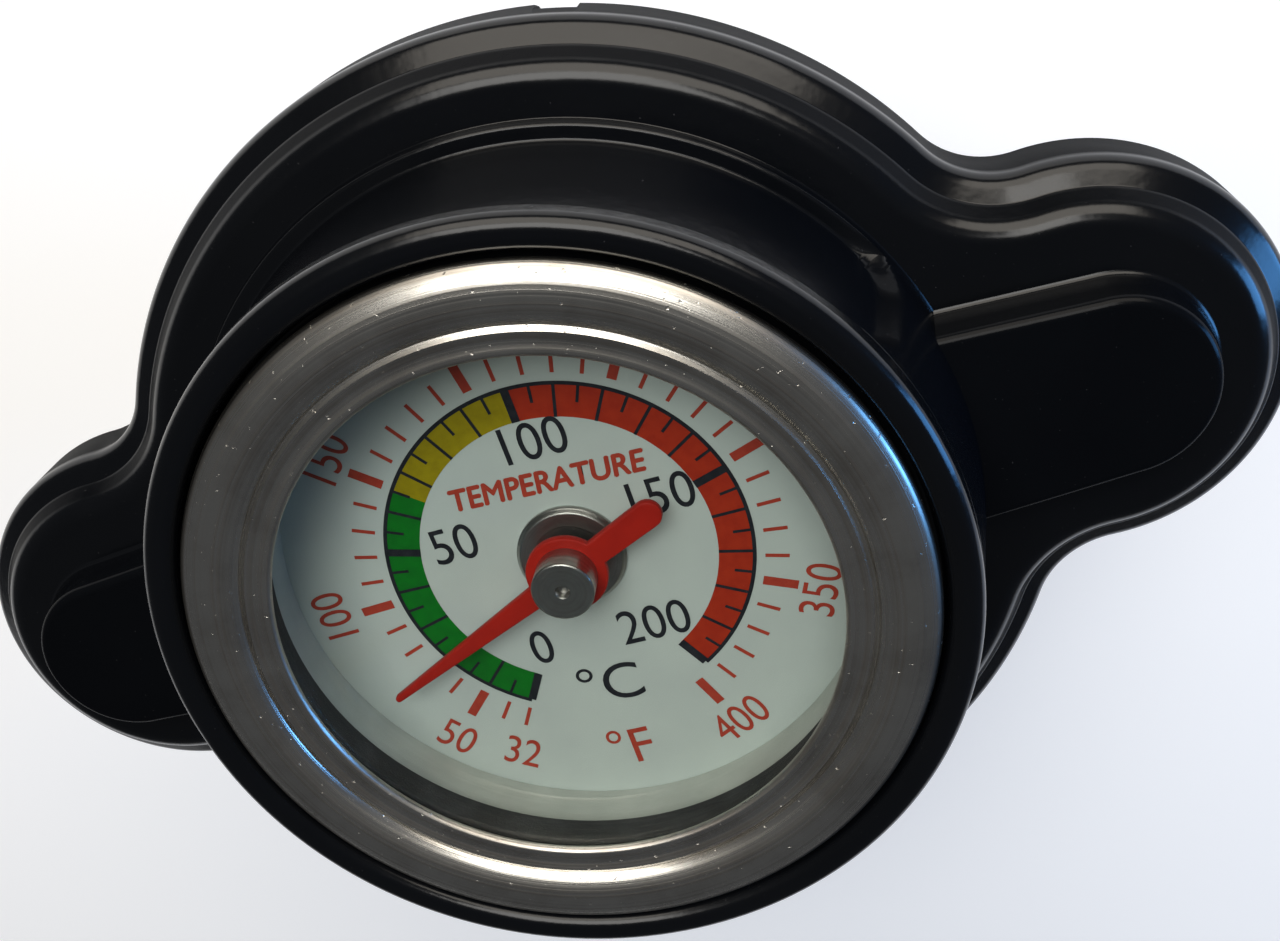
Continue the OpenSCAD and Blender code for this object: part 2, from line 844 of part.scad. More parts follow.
cap_body();
gauge_gasket();
lock_washer();
lock_nut();
spring_disc();
upper_gasket();
spring_cage();
pressure_spring();
valve_plate();
valve_retainer();
valve_gasket();
vacuum_valve();
vacuum_seal();
vacuum_spring();
vacuum_clip();
gauge_case();
stem_tube();
stem_tip();
guide_upper();
guide_lower();
bimetal_helix();
helix_collar();
pointer_shaft();
dial_seat();
dial_plate();
dial_bush();
pointer_hub();
pointer();
spacer_ring();
lens_gasket();
lens();
bezel_ring();
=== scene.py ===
"""Dresses the radiator cap thermometer: a gloss black two-eared cap with a dial gauge in its boss.

Sizes are in millimetres in the part's own frame, and become metres where a mesh is made.
"""

import logging
import math
from collections.abc import Callable, Iterable, Sequence
from dataclasses import dataclass
from enum import Enum

import bmesh
import bpy
from mathutils import Matrix, Vector


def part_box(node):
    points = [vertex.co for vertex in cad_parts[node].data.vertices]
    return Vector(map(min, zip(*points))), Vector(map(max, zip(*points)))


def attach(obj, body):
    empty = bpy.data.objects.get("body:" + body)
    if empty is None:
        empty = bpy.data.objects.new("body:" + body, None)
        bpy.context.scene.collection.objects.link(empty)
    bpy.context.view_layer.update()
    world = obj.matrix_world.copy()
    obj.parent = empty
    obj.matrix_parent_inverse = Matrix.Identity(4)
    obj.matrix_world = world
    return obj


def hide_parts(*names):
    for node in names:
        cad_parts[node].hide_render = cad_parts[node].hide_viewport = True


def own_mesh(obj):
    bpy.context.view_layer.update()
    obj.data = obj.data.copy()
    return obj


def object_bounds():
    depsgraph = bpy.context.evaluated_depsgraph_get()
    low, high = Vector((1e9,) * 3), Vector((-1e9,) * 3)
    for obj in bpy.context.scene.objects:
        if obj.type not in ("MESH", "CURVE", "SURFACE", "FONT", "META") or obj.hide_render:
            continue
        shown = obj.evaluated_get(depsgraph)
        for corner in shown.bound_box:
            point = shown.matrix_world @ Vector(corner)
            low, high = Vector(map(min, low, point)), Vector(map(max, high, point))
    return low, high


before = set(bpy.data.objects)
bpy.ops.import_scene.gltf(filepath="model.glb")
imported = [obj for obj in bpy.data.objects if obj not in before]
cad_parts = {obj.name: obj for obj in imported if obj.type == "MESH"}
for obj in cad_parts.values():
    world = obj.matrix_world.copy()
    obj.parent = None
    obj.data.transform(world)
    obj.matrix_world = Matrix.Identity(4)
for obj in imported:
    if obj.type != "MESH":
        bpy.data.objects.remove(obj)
CAD_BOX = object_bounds()

LOG = logging.getLogger("radiator_cap")
MM = 0.001
SMOOTH_ANGLE = math.radians(32)
MERGE_MM = 1e-4
QUARTER = math.pi / 2
WHITE = (1.0, 1.0, 1.0, 1.0)

# Both ends of a loft
ENDS = (0, -1)

# How much of a flat a rounding may take up, and how far its shading is held on the flat beside it
EASE_SHARE = 0.42
HOLD_SHARE = 0.25
HOLD_LIMIT = 0.06

Thing = bpy.types.Object
Material = bpy.types.Material
Point2 = tuple[float, float]
Point3 = tuple[float, float, float]
Colour = tuple[float, float, float]
Row = list[Point3]

# A section's corner: distance from the axis, height and, where it is rounded, the radius
Corner = tuple[float, ...]


class Body(Enum):
    """The bodies that the pieces ride on."""

    CAP = "cap"
    POINTER = "pointer"
    PRESSURE_VALVE = "pressure_valve"
    VACUUM_VALVE = "vacuum_valve"


class Slot(Enum):
    """Names of the material slots."""

    BLACK_ENAMEL = "black_enamel"
    STAINLESS = "stainless"
    STEEL_PLAIN = "steel_plain"
    SPRING_STEEL = "spring_steel"
    BRASS = "brass"
    RUBBER = "rubber"
    DIAL_WHITE = "dial_white"
    POINTER_RED = "pointer_red"
    SPACER_GREY = "spacer_grey"
    LENS_CLEAR = "lens_clear"
    BIMETAL = "bimetal"


class Axis(Enum):
    """How a metal's fine marks run: round the axis, or all ways."""

    TURNED = "turned"
    ROLLED = "rolled"


def low(node: str) -> float:
    """Lowest height of a solid, in millimetres."""
    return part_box(node)[0][2] / MM


def high(node: str) -> float:
    """Highest height of a solid, in millimetres."""
    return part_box(node)[1][2] / MM


def reach(node: str) -> float:
    """Farthest distance of a round solid from the axis, in millimetres."""
    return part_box(node)[1][0] / MM


# Node building


def operator(operation: str, swapped: bool = False) -> "Callable[[Sock, Sock | float], Sock]":
    """Makes an arithmetic method for sockets.

    Args:
        operation: The Math node's operation.
        swapped: Whether the method's own socket comes second.

    Returns:
        The method.
    """

    def method(self: "Sock", other: "Sock | float") -> "Sock":
        """Adds one Math node and returns its result."""
        pair = (other, self) if swapped else (self, other)
        return self.graph.node("ShaderNodeMath", dict(enumerate(pair)), operation=operation)

    return method


class Sock:
    """A node's socket that takes part in Python arithmetic."""

    __add__ = __radd__ = operator("ADD")
    __mul__ = __rmul__ = operator("MULTIPLY")
    __sub__ = operator("SUBTRACT")
    __rsub__ = operator("SUBTRACT", swapped=True)
    __pow__ = operator("POWER")
    larger = operator("MAXIMUM")

    def __init__(self, graph: "Graph", socket: bpy.types.NodeSocket) -> None:
        """Keeps the socket and the graph that it belongs to."""
        self.graph = graph
        self.socket = socket

    def clamp(self) -> "Sock":
        """The value held between 0 and 1."""
        return self.graph.node("ShaderNodeClamp", {0: self})


class Graph:
    """A node tree, built node by node."""

    def __init__(self, tree: bpy.types.NodeTree) -> None:
        """Keeps the tree."""
        self.tree = tree

    def node(
        self, kind: str, inputs: "dict[str | int, object] | None" = None, out: str | int = 0, **settings: object
    ) -> Sock:
        """Adds any node.

        Args:
            kind: The node's type name.
            inputs: Values or sockets, by input name or index.
            out: The output to return.
            **settings: The node's own properties, which are set first.

        Returns:
            The chosen output.
        """
        made = self.tree.nodes.new(kind)
        for key, value in settings.items():
            setattr(made, key, value)
        for key, value in (inputs or {}).items():
            if isinstance(value, Sock):
                self.tree.links.new(value.socket, made.inputs[key])
            else:
                made.inputs[key].default_value = value
        return Sock(self, made.outputs[out])


class Shader(Graph):
    """One material's node tree, with object coordinates in millimetres at hand."""

    def __init__(self, name: str) -> None:
        """Starts a tree with an output.

        Args:
            name: The material's name.
        """
        self.material = bpy.data.materials.new(name)
        self.material.use_nodes = True
        super().__init__(self.material.node_tree)
        self.tree.nodes.clear()
        self.output = self.tree.nodes.new("ShaderNodeOutputMaterial")
        coords = self.node("ShaderNodeTexCoord", out="Object")
        self.place = self.node("ShaderNodeVectorMath", {0: coords, "Scale": 1 / MM}, operation="SCALE")

    def noise(self, per_mm: float, detail: float, rough: float = 0.55, place: Sock | None = None) -> Sock:
        """Soft noise.

        Args:
            per_mm: Grains to a millimetre.
            detail: Octaves.
            rough: How strong the finer octaves are.
            place: Coordinates in millimetres, where they aren't the object's own.

        Returns:
            A value from 0 to 1.
        """
        wants = {"Vector": place or self.place, "Scale": per_mm, "Detail": detail, "Roughness": rough}
        return self.node("ShaderNodeTexNoise", wants)

    def band(self, value: Sock, start: float, end: float) -> Sock:
        """The value's smooth rise from 0 at start to 1 at end."""
        wants = {"Value": value, "From Min": start, "From Max": end}
        return self.node("ShaderNodeMapRange", wants, interpolation_type="SMOOTHSTEP")

    def mix(self, share: Sock, first: Colour | Sock, second: Colour | Sock) -> Sock:
        """A colour between two, by a share."""
        sides = [c if isinstance(c, Sock) else (*c, 1.0) for c in (first, second)]
        return self.node("ShaderNodeMix", {0: share, 6: sides[0], 7: sides[1]}, 2, data_type="RGBA")

    def axes(self) -> list[Sock]:
        """Splits the coordinates.

        Returns:
            The x, y and z of each point, in millimetres.
        """
        split = self.tree.nodes.new("ShaderNodeSeparateXYZ")
        self.tree.links.new(self.place.socket, split.inputs[0])
        return [Sock(self, s) for s in split.outputs]

    def around(self) -> Sock:
        """Coordinates that run with the radius and the height only, for marks that a lathe leaves."""
        x, y, z = self.axes()
        return self.node("ShaderNodeCombineXYZ", {0: (x * x + y * y) ** 0.5, 1: z})

    def bump(self, height: Sock, depth_mm: float) -> Sock:
        """A bumped normal from a height of 0 to 1 that stands for the given depth."""
        wants = {"Height": height, "Distance": depth_mm * MM, "Strength": 1.0}
        return self.node("ShaderNodeBump", wants, "Normal")

    def principled(self, **inputs: object) -> Material:
        """Ends the tree in a Principled shader.

        Args:
            **inputs: Socket names with underscores for spaces, and their values or sockets.

        Returns:
            The finished material.
        """
        named = {key.replace("_", " "): value for key, value in inputs.items()}
        return self.surface(self.node("ShaderNodeBsdfPrincipled", named, "BSDF"))

    def surface(self, shader: Sock) -> Material:
        """Links a shader to the output and returns the material."""
        self.tree.links.new(shader.socket, self.output.inputs["Surface"])
        return self.material


# Finishes


@dataclass(frozen=True)
class BlackEnamel:
    """Black enamel over a casting: glossy on top and satin on the walls, with orange peel, dust and rubs.

    Each pair of heights is where a change of gloss starts and ends.
    """

    name: str = "gloss_black_enamel"
    deep: Colour = (0.0014, 0.0017, 0.0024)
    lifted: Colour = (0.0030, 0.0035, 0.0046)
    dust: Colour = (0.05, 0.05, 0.054)
    satin_rough: float = 0.42
    satin_ior: float = 1.03
    gloss_rough: float = 0.15
    gloss_ior: float = 1.38
    peel_mm: float = 0.012
    wall_gloss: float = 0.09
    boss_gloss: float = 0.16
    riser_dulling: float = 0.75
    shoulder: Point2 = (0.5, 1.4)
    riser_foot: Point2 = (2.15, 2.3)
    riser_head: Point2 = (2.95, 2.7)
    boss_foot: Point2 = (4.6, 3.6)
    rim: Point2 = (10.4, 11.5)

    def polish(self, g: Shader) -> Sock:
        """Finds how glossy each height is: full on flange, tongues and rim, little on the steep walls.

        Args:
            g: The material's tree.

        Returns:
            The share of gloss.
        """
        z = g.axes()[2]
        top = g.band(z, *self.shoulder)
        riser = g.band(z, *self.riser_foot) * g.band(z, *self.riser_head)
        flange = top * g.band(z, *self.boss_foot) * (1.0 - self.riser_dulling * riser)
        wall = top * self.boss_gloss + self.wall_gloss
        return wall.larger(flange + g.band(z, *self.rim))

    def paint(self) -> Material:
        """Makes the material.

        Returns:
            The material.
        """
        g = Shader(self.name)
        cloud = g.noise(0.12, 4.0)
        peel = g.bump(g.noise(1.1, 2.0), self.peel_mm)
        rub = g.band(g.noise(2.6, 6.0, 0.7), 0.62, 0.82)
        speck = g.band(g.noise(7.5, 1.0), 0.77, 0.83)
        colour = g.mix(speck * 0.4, g.mix(cloud, self.deep, self.lifted), self.dust)
        marks = 0.07 * cloud + 0.06 * rub + 0.2 * speck
        coats = {0: self.polish(g)}
        for rough, ior in ((self.satin_rough, self.satin_ior), (self.gloss_rough, self.gloss_ior)):
            coat = {"Base Color": colour, "Roughness": marks + rough, "Normal": peel, "IOR": ior}
            coats[len(coats)] = g.node("ShaderNodeBsdfPrincipled", coat, "BSDF")
        return g.surface(g.node("ShaderNodeMixShader", coats))


@dataclass(frozen=True)
class BareMetal:
    """A bright or dull metal with fine marks, stains and small pits."""

    name: str
    colour: Colour
    stain: Colour
    polish: float
    marks: Axis
    mark_depth: float
    marks_per_mm: float
    streak: float = 0.0

    def paint(self) -> Material:
        """Makes the material.

        Returns:
            The material.
        """
        g = Shader(self.name)
        way = g.around() if self.marks is Axis.TURNED else g.place
        fine = g.noise(self.marks_per_mm, 3.0, place=way)
        cloud = g.noise(0.35, 5.0, 0.6)
        pit = g.band(g.noise(3.2, 3.0), 0.66, 0.76)
        line = g.band(fine, 0.42, 0.64) * self.streak
        tone = g.band(cloud, 0.35, 0.75) * 0.55 + pit * 0.3 + line
        colour = g.mix(tone.clamp(), self.colour, self.stain)
        rough = self.polish + 0.1 * cloud + 0.12 * pit + 0.05 * fine + 0.15 * line
        normal = g.bump(fine - 0.4 * pit, self.mark_depth)
        return g.principled(Base_Color=colour, Metallic=1.0, Roughness=rough, Normal=normal)


@dataclass(frozen=True)
class Rubber:
    """Moulded black rubber with bloom and a fine grain."""

    name: str = "moulded_rubber"
    dark: Colour = (0.014, 0.014, 0.015)
    bloom: Colour = (0.05, 0.05, 0.052)
    grain_mm: float = 0.02

    def paint(self) -> Material:
        """Makes the material.

        Returns:
            The material.
        """
        g = Shader(self.name)
        cloud = g.noise(0.5, 5.0)
        colour = g.mix(g.band(cloud, 0.45, 0.8), self.dark, self.bloom)
        normal = g.bump(g.noise(9.0, 2.0), self.grain_mm)
        return g.principled(Base_Color=colour, Roughness=0.55 + 0.25 * cloud, Normal=normal)


@dataclass(frozen=True)
class Paint:
    """A thin even paint or print: slightly mottled, with a faint grain."""

    name: str
    colour: Colour
    second: Colour
    rough: float
    per_mm: float
    grain_mm: float = 0.004
    shine: float = 0.16

    def paint(self) -> Material:
        """Makes the material.

        Returns:
            The material.
        """
        g = Shader(self.name)
        grain = g.noise(14.0, 2.0)
        colour = g.mix(g.band(g.noise(self.per_mm, 4.0), 0.3, 0.75), self.colour, self.second)
        return g.principled(
            Base_Color=colour, Roughness=self.rough + 0.15 * grain, Normal=g.bump(grain, self.grain_mm),
            Specular_IOR_Level=self.shine,
        )


@dataclass(frozen=True)
class LensGlass:
    """Clear glass that lets light through to the dial and mirrors a little, with a few smears."""

    name: str = "clear_lens"
    tint: Colour = (0.965, 0.985, 0.98)
    rough: float = 0.03
    ior: float = 1.35

    def paint(self) -> Material:
        """Makes the material.

        Returns:
            The material.
        """
        g = Shader(self.name)
        smear = g.band(g.noise(0.3, 5.0), 0.5, 0.8)
        clear = g.node("ShaderNodeBsdfTransparent", {"Color": (*self.tint, 1.0)})
        gloss = g.node("ShaderNodeBsdfGlossy", {"Color": WHITE, "Roughness": self.rough})
        share = g.node("ShaderNodeFresnel", {"IOR": self.ior}) * 0.6 + smear * 0.008
        return g.surface(g.node("ShaderNodeMixShader", {0: share.clamp(), 1: clear, 2: gloss}))


METALS = {
    "bezel_steel": ("spun_stainless", (0.65, 0.625, 0.57), (0.34, 0.315, 0.28), 0.17, Axis.TURNED, 0.035, 3.2, 0.75),
    "bright_steel": ("polished_stainless", (0.63, 0.61, 0.58), (0.42, 0.395, 0.365), 0.17, Axis.TURNED, 0.008, 8.0),
    "turned_steel": ("turned_steel", (0.46, 0.45, 0.43), (0.27, 0.255, 0.235), 0.22, Axis.TURNED, 0.015, 6.0, 0.5),
    "plain_steel": ("pressed_steel", (0.52, 0.52, 0.53), (0.36, 0.35, 0.34), 0.28, Axis.ROLLED, 0.006, 5.0),
    "spring_steel": ("drawn_spring_wire", (0.46, 0.46, 0.48), (0.28, 0.27, 0.27), 0.25, Axis.ROLLED, 0.005, 6.0),
    "brass": ("pressed_brass", (0.66, 0.50, 0.22), (0.42, 0.29, 0.12), 0.24, Axis.TURNED, 0.006, 6.0),
    "bimetal": ("rolled_bimetal", (0.58, 0.46, 0.33), (0.36, 0.28, 0.2), 0.3, Axis.ROLLED, 0.005, 6.0),
}
PAINTS = {
    "dial_white": ((0.56, 0.615, 0.58), (0.525, 0.575, 0.55), 0.42, 0.3),
    "spacer_grey": ((0.47, 0.49, 0.45), (0.40, 0.42, 0.385), 0.4, 0.4),
    "pointer_red": ((0.42, 0.014, 0.006), (0.35, 0.011, 0.005), 0.36, 0.9),
    "ink_black": ((0.012, 0.013, 0.018), (0.022, 0.024, 0.03), 0.4, 2.5),
    "ink_red": ((0.46, 0.056, 0.03), (0.40, 0.043, 0.024), 0.45, 2.5),
    "band_green": ((0.001, 0.18, 0.010), (0.0015, 0.145, 0.010), 0.45, 1.6),
    "band_yellow": ((0.36, 0.285, 0.002), (0.29, 0.225, 0.0015), 0.45, 1.6),
    "band_orange": ((0.44, 0.032, 0.008), (0.37, 0.022, 0.006), 0.45, 1.6),
}


def palette() -> dict[str, Material]:
    """Makes every finish on the object once.

    Returns:
        The materials, by the names that the pieces use.
    """
    finishes = {
        "enamel": BlackEnamel(),
        **{key: BareMetal(*row) for key, row in METALS.items()},
        "rubber": Rubber(),
        **{key: Paint(key, *row) for key, row in PAINTS.items()},
        "lens": LensGlass(),
    }
    return {key: finish.paint() for key, finish in finishes.items()}


# Outlines and sections


def spread(start: float, end: float, count: int) -> list[float]:
    """Values in equal steps from start to end, both included."""
    return [start + (end - start) * k / count for k in range(count + 1)]


def arc(angles: Iterable[float], radius: float, x: float = 0.0, y: float = 0.0) -> list[Point2]:
    """Points at the given angles on a circle about a centre."""
    return [(x + radius * math.cos(a), y + radius * math.sin(a)) for a in angles]


def polar(r: float, angle: float, z: float) -> Point3:
    """A point by its distance from the axis, its angle and its height."""
    return (r * math.cos(angle), r * math.sin(angle), z)


def ring(r_in: float, r_out: float, z_low: float, z_high: float, eases: Sequence[float]) -> list[Corner]:
    """Corners of a plain ring's section, with their roundings from inside low round to inside high."""
    spots = ((r_in, z_low), (r_out, z_low), (r_out, z_high), (r_in, z_high))
    return [(*spot, ease) for spot, ease in zip(spots, eases)]


def rounded_rectangle(wide: float, tall: float, radius: float, steps: int = 6) -> list[Point2]:
    """Draws a rectangle with round corners about the origin.

    Args:
        wide: Its width.
        tall: Its height.
        radius: The corners' radius.
        steps: Facets to each corner.

    Returns:
        The outline.
    """
    points = []
    for turn, (sx, sy) in enumerate(((1, 1), (-1, 1), (-1, -1), (1, -1))):
        angles = spread(QUARTER * turn, QUARTER * (turn + 1), steps)
        points += arc(angles, radius, sx * (wide / 2 - radius), sy * (tall / 2 - radius))
    return points


def eased(corners: Sequence[Corner], closed: bool = True, steps: int = 5) -> list[Point2]:
    """Rounds a section's corners, and keeps the flats between them true.

    Args:
        corners: The section's corners in order.
        closed: Whether the last corner joins the first.
        steps: Facets to each rounding.

    Returns:
        The section's points.
    """
    count = len(corners)
    points: list[Point2] = []
    for i, (r, z, *ease) in enumerate(corners):
        here = Vector((r, z))
        at_end = not closed and i in (0, count - 1)
        if at_end or not any(ease):
            points.append((here.x, here.y))
            continue
        before, after = (Vector(corners[(i + k) % count][:2]) - here for k in (-1, 1))
        half = before.angle(after) / 2
        run = min(ease[0] / math.tan(half), EASE_SHARE * before.length, EASE_SHARE * after.length)
        radius = run * math.tan(half)
        way_in, way_out = before.normalized(), after.normalized()
        centre = here + (way_in + way_out).normalized() * (radius / math.sin(half))
        start, end = here + way_in * run, here + way_out * run
        hold = min(HOLD_SHARE * run, HOLD_LIMIT)
        points.append(tuple(start + way_in * hold))
        for share in spread(0.0, 1.0, steps):
            spot = start.lerp(end, share) - centre
            points.append(tuple(centre + spot.normalized() * radius))
        points.append(tuple(end + way_out * hold))
    return points


# Mesh building


def new_object(name: str, data: bpy.types.ID) -> Thing:
    """Links data to the scene as an object at the origin.

    Args:
        name: The object's name.
        data: Its mesh, curve, light or camera.

    Returns:
        The object.
    """
    made = bpy.data.objects.new(name, data)
    bpy.context.scene.collection.objects.link(made)
    return made


def mesh_object(name: str, points: Iterable[Sequence[float]], faces: Iterable[Sequence[int]]) -> Thing:
    """Makes an object from points in millimetres.

    Args:
        name: The object's name.
        points: Corners in millimetres.
        faces: Corner numbers of each face.

    Returns:
        The object, smooth where its faces meet softly, with its faces outwards.
    """
    mesh = bpy.data.meshes.new(name)
    mesh.from_pydata([tuple(c * MM for c in p) for p in points], [], [list(f) for f in faces])
    work = bmesh.new()
    work.from_mesh(mesh)
    bmesh.ops.remove_doubles(work, verts=work.verts, dist=MERGE_MM * MM)
    bmesh.ops.recalc_face_normals(work, faces=work.faces)
    work.to_mesh(mesh)
    work.free()
    soften(mesh)
    return new_object(name, mesh)


def soften(mesh: bpy.types.Mesh) -> None:
    """Shades a mesh smooth, apart from its sharp edges."""
    mesh.shade_smooth()
    mesh.set_sharp_from_angle(angle=SMOOTH_ANGLE)


def loft(name: str, rows: Sequence[Row], closed: bool = True, tube: bool = False, caps: Sequence[int] = ()) -> Thing:
    """Skins rows of points.

    Args:
        name: The object's name.
        rows: Rows of equal length, in millimetres.
        closed: Whether each row closes on itself.
        tube: Whether the last row joins the first.
        caps: The rows that are filled with a face.

    Returns:
        The object.
    """
    wide, tall = len(rows[0]), len(rows)
    faces: list[Sequence[int]] = []
    for j in range(tall if tube else tall - 1):
        a, b = j * wide, (j + 1) % tall * wide
        for i in range(wide if closed else wide - 1):
            k = (i + 1) % wide
            faces.append((a + i, a + k, b + k, b + i))
    for cap in caps:
        first = cap % tall * wide
        faces.append(range(first, first + wide))
    return mesh_object(name, [p for row in rows for p in row], faces)


def revolve(
    name: str, section: Sequence[Point2], sides: int = 160, closed: bool = True, sweep: float = math.tau
) -> Thing:
    """Turns a section round the axis.

    Args:
        name: The object's name.
        section: Points as distance from the axis and height.
        sides: Facets round a full turn.
        closed: Whether the section closes on itself; otherwise it runs from the axis to the axis.
        sweep: The angle turned, in radians.

    Returns:
        The object.
    """
    whole = sweep >= math.tau
    angles = spread(0.0, sweep, sides if whole else round(sides * sweep / math.tau))
    if whole:
        return loft(name, [[polar(r, a, z) for a in angles[:-1]] for r, z in section], tube=closed)
    return loft(name, [[polar(r, a, z) for r, z in section] for a in angles], caps=ENDS)


def joined(name: str, parts: Sequence[Thing]) -> Thing:
    """Joins objects into one, and removes them.

    Args:
        name: The new object's name.
        parts: The objects.

    Returns:
        One object with all their faces.
    """
    work = bmesh.new()
    for part in parts:
        work.from_mesh(part.data)
    mesh = bpy.data.meshes.new(name)
    work.to_mesh(mesh)
    work.free()
    discard(parts)
    soften(mesh)
    return new_object(name, mesh)


def discard(things: Iterable[Thing]) -> None:
    """Removes objects and their meshes."""
    for mesh in [thing.data for thing in things]:
        bpy.data.meshes.remove(mesh)


def settled(thing: Thing) -> Thing:
    """Replaces an object's mesh by what its modifiers make of it, and removes them.

    Args:
        thing: The object.

    Returns:
        The same object.
    """
    graph = bpy.context.evaluated_depsgraph_get()
    old, thing.data = thing.data, bpy.data.meshes.new_from_object(thing.evaluated_get(graph))
    thing.modifiers.clear()
    bpy.data.meshes.remove(old)
    return thing


def cut_away(thing: Thing, cutters: Sequence[Thing]) -> Thing:
    """Takes cutters out of a solid.

    Args:
        thing: The solid.
        cutters: Closed shapes, which are removed afterwards.

    Returns:
        The solid with its cuts.
    """
    for cutter in cutters:
        step = thing.modifiers.new(cutter.name, "BOOLEAN")
        step.operation = "DIFFERENCE"
        step.solver = "EXACT"
        step.object = cutter
    settled(thing)
    discard(cutters)
    soften(thing.data)
    return thing


# Pieces and their dress


@dataclass
class Assembly:
    """A sub-assembly, with the means to dress what it makes."""

    finishes: dict[str, Material]

    def dress(self, thing: Thing, finish: str, body: Body, slot: Slot, *nodes: str) -> Thing:
        """Gives a piece its finish and its body, and hides the solids that it stands for.

        Args:
            thing: The piece.
            finish: Its material's name in the palette.
            body: The body that it rides on.
            slot: Not used.
            *nodes: The CAD nodes that it stands for.

        Returns:
            The piece.
        """
        thing.data.materials.clear()
        thing.data.materials.append(self.finishes[finish])
        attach(thing, body.value)
        if nodes:
            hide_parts(*nodes)
        LOG.info("%s: %d faces", thing.name, len(thing.data.polygons))
        return thing

    def turn(
        self, name: str, corners: Sequence[Corner], finish: str, body: Body, slot: Slot, node: str,
        closed: bool = True, steps: int = 5, **wants: float,
    ) -> None:
        """Turns a section with rounded corners round the axis, and dresses it.

        Args:
            name: The piece's name.
            corners: The section's corners.
            finish: Its material's name in the palette.
            body: The body that it rides on.
            slot: Not used; handed on to dress, which ignores it.
            node: The CAD node that it stands for.
            closed: Whether the section closes on itself.
            steps: Facets to each rounding.
            **wants: What else revolve is told.
        """
        made = revolve(name, eased(corners, closed, steps), closed=closed, **wants)
        self.dress(made, finish, body, slot, node)


